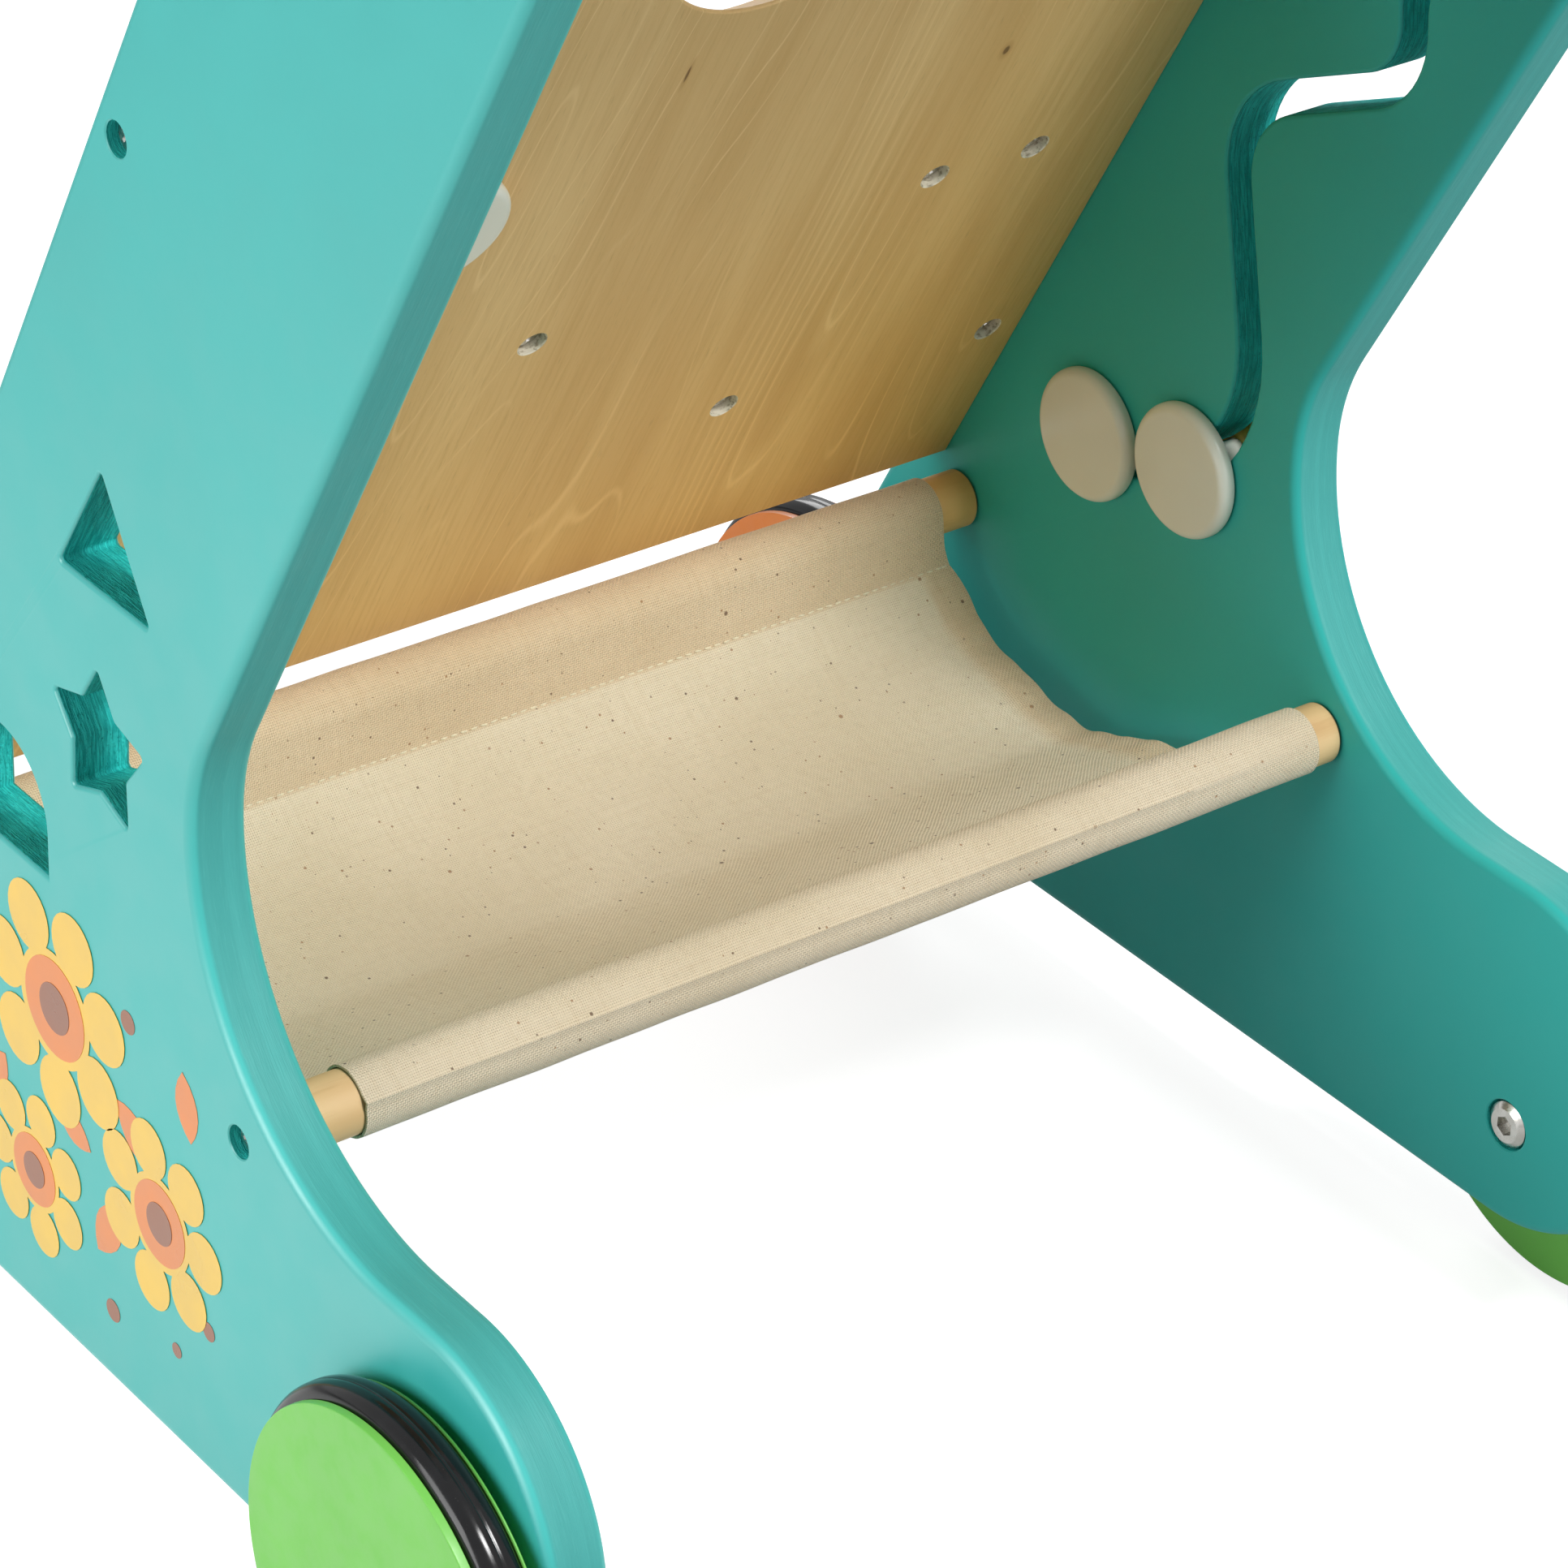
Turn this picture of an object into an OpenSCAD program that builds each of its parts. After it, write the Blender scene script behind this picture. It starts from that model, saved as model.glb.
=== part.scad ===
// Baby push walker: two painted side panels with a slanted activity board, a push handle,
// a fabric sling basket on two dowels and four rubber-tyred wheels.
// X runs to the right, Y in the direction of travel, Z up. The origin lies on the floor,
// midway between the axles and between the side panels.

/* [Frame] */
// Clear width between the side panels
inner_w = 300; // [270:1:330]
// Thickness of a side panel
panel_t = 15; // [12:0.5:20]
// Distance between the rear and the front axle
wheel_base = 262; // [240:1:290]
// Height of the panels' bottom edge above the floor
panel_bottom_z = 24.6; // [18:0.2:32]
// Lean of the panel arms and of the board, from the vertical
lean = 28.2; // [24:0.2:32]
// Width of a panel arm, square to its edges
arm_w = 97; // [88:1:110]
// Distance from the front axle to the front edge, square to that edge
front_margin = 23.7; // [21:0.1:30]
// Radius of the front bottom corner
front_corner_r = 26; // [15:0.5:32]
// Height of the top of the panels
panel_top_z = 502; // [470:1:530]
// Radius of the corners at the top of an arm
top_corner_r = 44; // [25:0.5:46]
// Height of the flat top of the rear haunch
haunch_top_z = 120; // [112:0.5:128]
// How far the haunch's centre lies ahead of the rear axle
haunch_ahead = 3.4; // [0:0.1:8]
// Radius of the upper part of the rear notch
notch_upper_r = 54; // [40:1:70]
// Radius of the lower part of the rear notch
notch_lower_r = 75; // [60:1:82]

/* [Wheels] */
// Outer diameter of a tyre
wheel_d = 105; // [95:0.5:115]
// Diameter of a wheel's face cover
cover_d = 99; // [88:0.5:101]
// Thickness of a face cover
cover_t = 2.4; // [1.6:0.1:4]
// How far a wheel's inner flange stands out beyond the face cover
flange_rise = 0.8; // [-2.5:0.1:1.5]
// Thickness of the inner flange
flange_t = 1; // [0.8:0.1:2]
// Diameter of the drum that carries the tyre
drum_d = 86; // [70:0.5:88]
// Width of a tyre
tyre_w = 10.6; // [9:0.1:12]
// Diameter of an axle bolt's shank
bolt_d = 8; // [6:0.1:9]
// Diameter of an axle bolt's head
bolt_head_d = 12.4; // [11:0.1:13.6]
// Height of an axle bolt's head
bolt_head_h = 4; // [3:0.1:5]
// Depth of the counterbore for a bolt head
bolt_sink = 3.5; // [2.5:0.1:4.5]
// Width across the flats of the hex socket
bolt_socket = 4.5; // [4:0.1:6]
// Diameter of a washer
washer_d = 22; // [18:0.5:26]
// Thickness of a washer
washer_t = 2; // [1.5:0.1:3]
// Width across the flats of a lock nut
nut_flats = 13; // [11:0.1:15]
// Height of a lock nut
nut_h = 4.6; // [4:0.1:5]

/* [Basket] */
// Diameter of the basket dowels
dowel_d = 15.5; // [13:0.5:18]
// Height of the basket dowels' axes
dowel_z = 126; // [122:0.5:132]
// Distance of the rear dowel's axis ahead of the rear axle
rear_dowel_ahead = 77.4; // [72:0.1:84]
// Distance of the front dowel's axis behind the front axle
front_dowel_back = 41.3; // [37:0.1:47]
// Bare end of the dowels between the left panel and the sling
sling_left_gap = 13; // [8:0.5:22]
// Bare end of the dowels between the right panel and the sling
sling_right_gap = 6; // [3:0.5:14]
// Thickness of the cloth
cloth_t = 1.4; // [1:0.1:2]
// Depth of the sling below its sleeves
sling_sag = 27.5; // [20:0.5:36]
// Shift of the deepest line towards the front dowel
sling_skew = 1.45; // [1:0.05:1.8]
// Height of the shallow folds in the cloth
fold_h = 0.8; // [0:0.1:1.5]

/* [Handle] */
// Diameter of the handle bar
handle_d = 24; // [20:0.5:30]

/* [Board] */
// Thickness of the activity board
board_t = 9; // [7:0.5:12]
// Length of the board up the slope
board_len = 338; // [320:1:350]
// Height of the board's lower back edge
board_bottom_z = 136.5; // [135.5:0.5:146]
// Distance of the board's front face behind the panels' front edge
board_inset = 5; // [3:0.5:8]
// Diameter of the round window
window_d = 74; // [60:1:80]
// Distance of the window's centre up the slope
window_s = 268; // [258:1:280]
// Diameter of the counterbores for the board's screws
board_sink_d = 7.6; // [7.4:0.1:9]
// Depth of the counterbores for the board's screws
board_sink = 4.6; // [4:0.1:5.5]

/* [Board play pieces] */
// Upper gear's axis, to the right of the middle
gear_a_x = -23; // [-30:0.5:-16]
// Upper gear's axis, up the slope
gear_a_s = 118; // [112:0.5:124]
// Lower gear's axis, to the right of the middle
gear_b_x = 54; // [48:0.5:60]
// Lower gear's axis, up the slope
gear_b_s = 61; // [58:0.5:66]
// Thickness of a gear
gear_t = 9; // [7:0.5:12]
// Number of teeth on each gear
gear_teeth = 12; // [10:2:14]
// Diameter of the pegs that the gears turn on
peg_d = 14; // [12:0.5:18]
// Diameter of the pegs' caps
peg_cap_d = 26; // [20:0.5:30]
// Thickness of the pegs' caps
peg_cap_t = 5; // [3:0.5:7]
// Bead rail's right post, inward of the right panel
rail_in = 32.4; // [28:0.2:40]
// Distance between the bead rail's posts
rail_span = 30.8; // [28:0.2:36]
// Bead rail's place up the slope
rail_s = 139; // [132:0.5:146]
// Diameter of the bead rail's posts
rail_post_d = 12; // [10:0.5:13]
// Height of the bead rail's posts
rail_post_h = 24; // [21:0.5:30]
// Diameter of the bead rail's rod
rail_rod_d = 6; // [5:0.1:7]
// Height of the rod's axis above the board
rail_rod_h = 15; // [13:0.5:17]
// Diameter of the bead
bead_d = 22; // [18:0.5:24]
// Width of the bead
bead_w = 9; // [7:0.5:11]
// Fixed knob's axis, inward of the right panel
stud_in = 11.2; // [11:0.1:20]
// Fixed knob's place up the slope
stud_s = 57.5; // [50:0.5:64]
// Diameter of the fixed knob
stud_d = 19; // [14:0.5:20]
// Height of the fixed knob
stud_h = 13; // [10:0.5:18]
// Spinner's axis, to the left of the middle
spinner_left = 70.5; // [65:0.5:77]
// Spinner's place up the slope
spinner_s = 180.5; // [174:0.5:188]
// Diameter of the spinner's petals, over all
spinner_d = 46; // [36:1:54]
// Thickness of the spinner's petals
spinner_t = 8; // [6:0.5:12]

/* [Slot and sliders] */
// Width of the slot
slot_w = 8.4; // [7.6:0.1:10]
// Slot's lower end, behind the front edge
slot_in = 50.2; // [46:0.2:56]
// Slot's lower end, up the arm from the front axle
slot_up = 145.2; // [140:0.2:152]
// Radius of the slot's lowest bend
slot_r1 = 43.2; // [40:0.2:47]
// Length of the slot's middle run
slot_run1 = 39; // [33:0.5:45]
// Radius of the slot's second bend
slot_r2 = 24; // [20:0.5:28]
// Length of the slot's slanted run
slot_run2 = 32; // [26:0.5:38]
// Radius of the slot's third bend
slot_r3 = 20; // [16:0.5:24]
// Radius of the slot's last bend
slot_r4 = 24; // [18:0.5:30]
// Length of the slot's top run
slot_run3 = 44; // [20:0.5:50]
// Diameter of a slider's back disc
disc_d = 35.4; // [30:0.2:37]
// Thickness of a slider's back disc
disc_t = 4.5; // [3.5:0.5:7]
// Diameter of a slider's spindle
spindle_d = 7.6; // [6:0.1:7.8]
// Diameter of a slider's knob
knob_d = 32; // [26:0.5:34]
// Thickness of a slider's knob
knob_t = 12; // [9:0.5:16]

/* [Shape cut-outs] */
// Width of the triangle's base
tri_w = 37; // [30:0.5:40]
// Height of the triangle
tri_h = 30; // [26:0.5:34]
// Triangle's middle, behind the front axle
tri_back = 133.3; // [126:0.5:140]
// Height of the triangle's base
tri_z = 239; // [234:0.5:246]
// Radius to the star's points
star_r = 19.3; // [15:0.1:20.5]
// Radius to the star's hollows
star_in_r = 11.4; // [8:0.1:13]
// Star's middle, behind the front axle
star_back = 129.3; // [122:0.5:136]
// Height of the star's middle
star_z = 199; // [194:0.5:204]
// Width of the arch
arch_w = 39; // [32:0.5:42]
// Height of the arch
arch_h = 30.5; // [27:0.5:36]
// Arch's middle, behind the front axle
arch_back = 85.8; // [80:0.5:90]
// Height of the arch's base
arch_z = 152.5; // [146:0.5:158]

/* [Screws] */
// Diameter of the counterbores for the panel screws
screw_sink_d = 8.1; // [7.6:0.1:9.5]
// Depth of the counterbores for the panel screws
screw_sink = 5; // [4:0.1:6]
// Diameter of a screw's head
screw_head_d = 7; // [6.4:0.1:7.2]
// Height of a screw's head
screw_head_h = 2.4; // [2:0.1:3]
// Diameter of a screw's shank
screw_d = 4; // [3:0.1:4.6]
// Length of a panel screw's shank past the head
screw_len = 42; // [34:0.5:55]
// Depth that the board's screws reach into the pieces that they hold
board_screw_in = 9; // [6:0.5:11]
// Depth of a pilot hole past the screw's tip, with the head's height
tip_room = 2; // [1:0.1:4]
// Lowest screw in the board's edge, up the slope
edge_screw_s = 72; // [60:1:84]
// Distance between the screws in the board's edge
edge_screw_pitch = 168; // [150:1:180]

/* [Clearances] */
// Side play between parts that turn or slide
play = 0.3; // [0.2:0.05:0.5]
// Radial clearance of a running fit
run_fit = 0.06; // [0.03:0.01:0.1]
// Clearance of a hole round a fixed bolt or screw
hole_fit = 0.15; // [0.05:0.05:0.3]
// Gap between the two sliders' discs at rest
disc_gap = 2.2; // [0.8:0.1:3]

/* [Hidden] */
$fn = 64;
eps = 0.01;
slot_ease = 0.3;
teal = [0.38, 0.74, 0.72];
green = [0.58, 0.84, 0.49];
orange = [0.91, 0.57, 0.30];
black = [0.06, 0.06, 0.07];
wood = [0.80, 0.66, 0.44];
pale_wood = [0.86, 0.74, 0.54];
cream = [0.93, 0.90, 0.82];
cloth = [0.84, 0.78, 0.67];
zinc = [0.75, 0.76, 0.78];
yellow = [0.95, 0.80, 0.35];

// Axles
axle_z = wheel_d / 2;
rear_axle = [-wheel_base / 2, axle_z];
front_axle = [wheel_base / 2, axle_z];
half_w = inner_w / 2;
outer_x = half_w + panel_t;

// Edges of the panel in the plane of Y and Z, each as a straight line that leans back
fwd = [cos(lean), sin(lean)];
up = [-sin(lean), cos(lean)];
function edge_y(off, z) = front_axle[0] + (off - (z - front_axle[1]) * sin(lean)) / cos(lean);
rear_off = front_margin - arm_w;
haunch_r = (haunch_top_z - panel_bottom_z) / 2;
haunch_y = rear_axle[0] + haunch_ahead;
notch_rise = notch_upper_r * tan(lean / 2);
notch_limit = (edge_y(rear_off, haunch_top_z + notch_rise) - haunch_y) / (1 + tan(lean));
notch_r = min(notch_lower_r, notch_limit);
neck_z = haunch_top_z + notch_r;
neck_y = edge_y(rear_off, neck_z + notch_rise);
// Along the arm, from the front axle to its square end
top_r = min(top_corner_r, arm_w / 2 - 1);
front_top_c = (panel_top_z - top_r - axle_z - (front_margin - top_r) * sin(lean)) / cos(lean);
arm_end = front_top_c + top_r;
function arm_pt(a, b) = front_axle + fwd * (front_margin - a) + up * b;
handle_c = arm_pt(arm_w / 2, arm_end - top_r);

// Board: its own frame has X across, Y up the slope, and Z out of its back face
board_off = front_margin - board_inset - board_t;
board_y = edge_y(board_off, board_bottom_z);
module on_board() {
    translate([0, board_y, board_bottom_z]) rotate([90 + lean, 0, 0]) children();
}
// The same frame with Z out of its front face
module on_front() {
    on_board() translate([0, 0, -board_t]) mirror([0, 0, 1]) children();
}
function board_mid(s) = [board_y, board_bottom_z] + up * s + fwd * board_t / 2;

rear_dowel_c = [rear_axle[0] + rear_dowel_ahead, dowel_z];
front_dowel_c = [front_axle[0] - front_dowel_back, dowel_z];
dowel_span = front_dowel_c[0] - rear_dowel_c[0];
edge_screws = [for (i = [0:1]) board_mid(edge_screw_s + i * edge_screw_pitch)];
panel_screws = concat([rear_dowel_c, front_dowel_c, handle_c], edge_screws);

// Gears: equal, in mesh, with round teeth
gear_a = [gear_a_x, gear_a_s];
gear_b = [gear_b_x, gear_b_s];
gear_pitch_r = norm(gear_b - gear_a) / 2;
gear_dir = atan2(gear_b[1] - gear_a[1], gear_b[0] - gear_a[0]);
tooth_pitch = 2 * PI * gear_pitch_r / gear_teeth;
tooth_r = tooth_pitch * 0.215;
tooth_c = gear_pitch_r * 0.965;
gear_root_r = gear_pitch_r * 2 - tooth_c - tooth_r - tooth_r * 0.14;
gear_gap = 1.5;
rail_x = [half_w - rail_in - rail_span, half_w - rail_in];
rail_mid = (rail_x[0] + rail_x[1]) / 2;
stud_x = half_w - stud_in;
spinner_c = [-spinner_left, spinner_s];
spinner_lift = gear_gap + gear_t + peg_cap_t + 2;
board_screw_at = [gear_a, gear_b, [rail_x[0], rail_s], [rail_x[1], rail_s], [stud_x, stud_s]];

// Lays a shape drawn in Y and Z, and extruded, along X from x0 over a length
module along_x(x0, len) {
    translate([x0, 0, 0]) rotate([90, 0, 90]) linear_extrude(len) children();
}
// Places a shape that is turned about Z so that its axis runs along X
module axis_x(x0, c, dir) {
    translate([x0, c[0], c[1]]) rotate([0, dir > 0 ? 90 : -90, 0]) children();
}

// Polygon with true arcs at its corners, points in counterclockwise order
function unit(v) = v / norm(v);
module round_poly(pts, radii) {
    n = len(pts);
    d1 = [for (i = [0:n - 1]) unit(pts[(i + n - 1) % n] - pts[i])];
    d2 = [for (i = [0:n - 1]) unit(pts[(i + 1) % n] - pts[i])];
    half = [for (i = [0:n - 1]) acos(max(-1, min(1, d1[i] * d2[i]))) / 2];
    cut = [for (i = [0:n - 1]) radii[i] / tan(half[i])];
    c = [for (i = [0:n - 1]) pts[i] + unit(d1[i] + d2[i]) * radii[i] / sin(half[i])];
    turn = [for (i = [0:n - 1]) d2[i][0] * d1[i][1] - d2[i][1] * d1[i][0]];
    tip = [for (i = [0:n - 1]) [pts[i] + d1[i] * cut[i], pts[i], pts[i] + d2[i] * cut[i]]];
    difference() {
        union() {
            polygon([for (i = [0:n - 1]) for (p = [tip[i][0], tip[i][2]]) p]);
            for (i = [0:n - 1]) if (turn[i] > 0) intersection() {
                translate(c[i]) circle(radii[i]);
                polygon(tip[i]);
            }
        }
        for (i = [0:n - 1]) if (turn[i] < 0) intersection() {
            translate(c[i]) circle(radii[i]);
            polygon(tip[i]);
        }
    }
}

module panel_outline() {
    toe = [edge_y(front_margin, panel_bottom_z), panel_bottom_z];
    round_poly(
        [toe, arm_pt(0, arm_end), arm_pt(arm_w, arm_end), [neck_y, neck_z + notch_rise],
            [neck_y, haunch_top_z], [haunch_y - haunch_r, haunch_top_z], [haunch_y - haunch_r, panel_bottom_z]],
        [front_corner_r, top_r, top_r, notch_upper_r, notch_r, haunch_r - eps, haunch_r - eps]);
}

// Slot: a path of bends and runs; each step is [radius, turn], or [0, length]
slot_steps = [[slot_r1, -118.2], [0, slot_run1], [slot_r2, 77.9], [0, slot_run2], [slot_r3, -75.5],
    [slot_r4, 38], [0, slot_run3]];
slot_start = [arm_pt(slot_in, slot_up), 167.6 + lean];
function dir2(a) = [cos(a), sin(a)];
function slot_next(s, step) = step[0] == 0 ? [s[0] + dir2(s[1]) * step[1], s[1]] :
    let (side = step[1] > 0 ? 90 : -90, c = s[0] + dir2(s[1] + side) * step[0])
    [c - dir2(s[1] + step[1] + side) * step[0], s[1] + step[1]];
function slot_state(i) = i == 0 ? slot_start : slot_next(slot_state(i - 1), slot_steps[i - 1]);
bend_c = slot_start[0] + dir2(slot_start[1] - 90) * slot_r1;
disc_step = 2 * asin(min(1, (disc_d + disc_gap) / 2 / slot_r1));
lower_slider_c = slot_start[0];
upper_slider_c = bend_c + slot_r1 * dir2(slot_start[1] + 90 - disc_step);

module slot_piece(s, step) {
    if (step[0] == 0) translate(s[0]) rotate(s[1]) translate([0, -slot_w / 2]) square([step[1], slot_w]);
    else {
        side = step[1] > 0 ? 90 : -90;
        far = 2 * (step[0] + slot_w);
        translate(s[0] + dir2(s[1] + side) * step[0]) intersection() {
            difference() {
                circle(step[0] + slot_w / 2);
                circle(step[0] - slot_w / 2);
            }
            polygon(concat([[0, 0]], [for (k = [0:4]) far * dir2(s[1] - side + step[1] * k / 4)]));
        }
    }
}
// The pieces of the path, and a hole a hair wider than it at each joint and end
module slot_2d() {
    n = len(slot_steps);
    for (i = [0:n - 1]) slot_piece(slot_state(i), slot_steps[i]);
    for (i = [0:n]) translate(slot_state(i)[0]) circle(d = slot_w + slot_ease);
}

module star_2d() {
    polygon([for (i = [0:9]) (i % 2 == 0 ? star_r : star_in_r) * dir2(90 + 36 * i)]);
}
module cutouts_2d() {
    translate([front_axle[0] - tri_back, tri_z]) polygon([[-tri_w / 2, 0], [tri_w / 2, 0], [0, tri_h]]);
    translate([front_axle[0] - star_back, star_z]) star_2d();
    translate([front_axle[0] - arch_back, arch_z]) {
        translate([-arch_w / 2, 0]) square([arch_w, arch_h - arch_w / 2]);
        translate([0, arch_h - arch_w / 2]) intersection() {
            circle(d = arch_w);
            translate([-arch_w, -eps]) square([2 * arch_w, arch_w]);
        }
    }
}

// A panel drawn on the right, with its screw holes and its two axle holes
module panel_blank() {
    difference() {
        along_x(half_w, panel_t) panel_outline();
        for (c = panel_screws) {
            axis_x(half_w - 1, c, 1) cylinder(d = screw_d + 2 * hole_fit, h = panel_t + 2);
            axis_x(outer_x + 1, c, -1) cylinder(d = screw_sink_d, h = screw_sink + 1);
        }
        for (c = [rear_axle, front_axle])
            axis_x(half_w - 1, c, 1) cylinder(d = bolt_d + 2 * hole_fit, h = panel_t + 2);
        axis_x(half_w - 1, rear_axle, 1) cylinder(d = bolt_head_d + 1.2, h = bolt_sink + 1);
        axis_x(outer_x + 1, front_axle, -1) cylinder(d = bolt_head_d + 1.2, h = bolt_sink + 1);
    }
}
module on_left() {
    mirror([1, 0, 0]) children();
}
module left_side_panel() {
    color(teal) difference() {
        on_left() panel_blank();
        along_x(-outer_x - 1, panel_t + 2) cutouts_2d();
    }
}
module right_side_panel() {
    color(teal) difference() {
        panel_blank();
        along_x(half_w - 1, panel_t + 2) slot_2d();
    }
}

module activity_board() {
    color(wood) difference() {
        on_board() translate([-half_w, 0, -board_t]) cube([inner_w, board_len, board_t]);
        on_board() translate([0, window_s, -board_t - 1]) cylinder(d = window_d, h = board_t + 2);
        on_board() translate([spinner_c[0], spinner_c[1], -board_t - 1])
            cylinder(d = spindle_d + 2 * run_fit, h = board_t + 2);
        for (c = board_screw_at) on_board() translate([c[0], c[1], 0]) {
            translate([0, 0, -board_t - 1]) cylinder(d = screw_d + 2 * hole_fit, h = board_t + 2);
            translate([0, 0, -board_sink]) cylinder(d = board_sink_d, h = board_sink + 1);
        }
        for (c = edge_screws) for (dir = [-1, 1])
            axis_x(dir * (half_w + 1), c, -dir)
                cylinder(d = screw_d + 2 * hole_fit, h = screw_sink + screw_len - panel_t + 1 + tip_room);
    }
}

// A round bar between the panels, with a pilot hole at each end
module cross_bar(c, d) {
    difference() {
        axis_x(-half_w, c, 1) cylinder(d = d, h = inner_w);
        for (dir = [-1, 1])
            axis_x(dir * (half_w + 1), c, -dir)
                cylinder(d = screw_d + 2 * hole_fit, h = screw_sink + screw_len - panel_t + 1 + tip_room);
    }
}
module handle_bar() {
    color(pale_wood) cross_bar(handle_c, handle_d);
}
module front_dowel() {
    color(pale_wood) cross_bar(front_dowel_c, dowel_d);
}
module rear_dowel() {
    color(pale_wood) cross_bar(rear_dowel_c, dowel_d);
}

// Sling: a sheet that hangs from a sleeve round each dowel
sleeve_in = dowel_d / 2 + play;
sleeve_out = sleeve_in + cloth_t;
sling_x0 = sling_left_gap - half_w;
sling_w = inner_w - sling_left_gap - sling_right_gap;
sheet_nx = 14;
sheet_nt = 30;
function sheet_z(t, x) = dowel_z - sleeve_in - cloth_t / 4 - sling_sag * sin(180 * pow(t, sling_skew))
    + fold_h * sin(180 * t) * cos(3 * 360 * x / sling_w + 150 * t);
function sheet_pt(i, j, off) =
    let (t = j / sheet_nt, x = sling_x0 + sling_w * i / sheet_nx, e = 0.004,
        ta = max(0, t - e), tb = min(1, t + e),
        slope = unit([(tb - ta) * dowel_span, sheet_z(tb, x) - sheet_z(ta, x)]))
    [x, rear_dowel_c[0] + t * dowel_span - off * slope[1], sheet_z(t, x) + off * slope[0]];
module sling_sheet() {
    nx = sheet_nx;
    nt = sheet_nt;
    row = nt + 1;
    low = (nx + 1) * row;
    pts = [for (side = [0.5, -0.5]) for (i = [0:nx]) for (j = [0:nt]) sheet_pt(i, j, side * cloth_t)];
    top = [for (i = [0:nx - 1]) for (j = [0:nt - 1]) let (a = i * row + j)
        for (f = [[a, a + 1, a + row + 1], [a, a + row + 1, a + row]]) f];
    under = [for (f = top) [low + f[0], low + f[2], low + f[1]]];
    rim = concat([for (j = [0:nt]) j], [for (i = [1:nx]) i * row + nt],
        [for (j = [1:nt]) nx * row + nt - j], [for (i = [1:nx - 1]) (nx - i) * row]);
    m = len(rim);
    wall = [for (k = [0:m - 1]) let (a = rim[k], b = rim[(k + 1) % m])
        for (f = [[b, a, low + a], [b, low + a, low + b]]) f];
    polyhedron(pts, concat(top, under, wall));
}
module basket_sling() {
    color(cloth) difference() {
        union() {
            for (c = [rear_dowel_c, front_dowel_c]) axis_x(sling_x0, c, 1) cylinder(r = sleeve_out, h = sling_w);
            sling_sheet();
        }
        for (c = [rear_dowel_c, front_dowel_c])
            axis_x(sling_x0 - 1, c, 1) cylinder(r = sleeve_in, h = sling_w + 2);
    }
}

// A countersunk screw, head at the origin, shank along Z, with a cross recess
module screw(len) {
    difference() {
        union() {
            cylinder(d1 = screw_head_d, d2 = screw_head_d * 0.8, h = screw_head_h);
            cylinder(d = screw_d, h = screw_head_h + len);
        }
        for (a = [0, 90]) rotate(a)
            translate([-screw_head_d * 0.3, -screw_head_d * 0.07, -1])
                cube([screw_head_d * 0.6, screw_head_d * 0.14, screw_head_h * 0.46 + 1]);
    }
}
module right_screws() {
    for (c = panel_screws) axis_x(outer_x - screw_sink + screw_head_h, c, -1) panel_screw();
}
// Head in the counterbore, shank through the panel
module panel_screw() {
    screw(screw_len);
}
module left_panel_screws() {
    color(zinc) on_left() right_screws();
}
module right_panel_screws() {
    color(zinc) right_screws();
}
module board_screws() {
    color(zinc) for (c = board_screw_at)
        on_board() translate([c[0], c[1], screw_head_h - board_sink]) mirror([0, 0, 1])
            screw(board_t - board_sink + board_screw_in);
}

// Wheel: drawn along Z from its inner face outwards
wheel_w = flange_t + tyre_w + cover_t;
flange_d = cover_d + 2 * flange_rise;
tyre_in_r = drum_d / 2;
nut_z = flange_t + 3.2;
nut_pocket_d = nut_flats / cos(30) + 2;
module wheel_core() {
    difference() {
        union() {
            cylinder(d = flange_d, h = flange_t);
            cylinder(d = drum_d, h = flange_t + tyre_w);
        }
        translate([0, 0, -1]) cylinder(d = bolt_d + 2 * run_fit, h = wheel_w);
        translate([0, 0, nut_z]) cylinder(d = nut_pocket_d, h = wheel_w);
    }
}
module wheel_tyre() {
    r = wheel_d / 2;
    b = tyre_w / 2;
    bulge = r - cover_d / 2 + 0.6;
    arc_r = (b * b + bulge * bulge) / (2 * bulge);
    rotate_extrude() intersection() {
        translate([tyre_in_r, flange_t]) square([r, tyre_w]);
        union() {
            translate([r - arc_r, flange_t + b]) circle(arc_r);
            translate([tyre_in_r, flange_t]) square([r - bulge - tyre_in_r, tyre_w]);
        }
    }
}
module wheel_cover() {
    edge = min(0.8, cover_t / 2);
    translate([0, 0, flange_t + tyre_w]) rotate_extrude() {
        square([cover_d / 2 - edge, cover_t]);
        square([cover_d / 2, cover_t - edge]);
        translate([cover_d / 2 - edge, cover_t - edge]) circle(edge);
    }
}
// Bolt with its head at negative Z; z = 0 is the panel face towards the wheel
module axle_bolt() {
    head_z = bolt_sink - panel_t;
    tip = washer_t + play + nut_z + play + nut_h + 0.8;
    difference() {
        union() {
            translate([0, 0, head_z - bolt_head_h]) {
                cylinder(d1 = bolt_head_d - 2.4, d2 = bolt_head_d, h = 1.2);
                translate([0, 0, 1.2]) cylinder(d = bolt_head_d, h = bolt_head_h - 1.2);
            }
            translate([0, 0, head_z - eps]) cylinder(d = bolt_d, h = tip - head_z + eps);
        }
        translate([0, 0, head_z - bolt_head_h - 1])
            cylinder(d = bolt_socket / cos(30), h = bolt_head_h * 0.7 + 1, $fn = 6);
    }
}
module axle_washer() {
    difference() {
        cylinder(d = washer_d, h = washer_t);
        translate([0, 0, -1]) cylinder(d = bolt_d + 2 * hole_fit, h = washer_t + 2);
    }
}
module axle_nut() {
    translate([0, 0, washer_t + play + nut_z + play]) difference() {
        cylinder(d = nut_flats / cos(30), h = nut_h, $fn = 6);
        translate([0, 0, -1]) cylinder(d = bolt_d + 2 * run_fit, h = nut_h + 2);
    }
}
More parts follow.
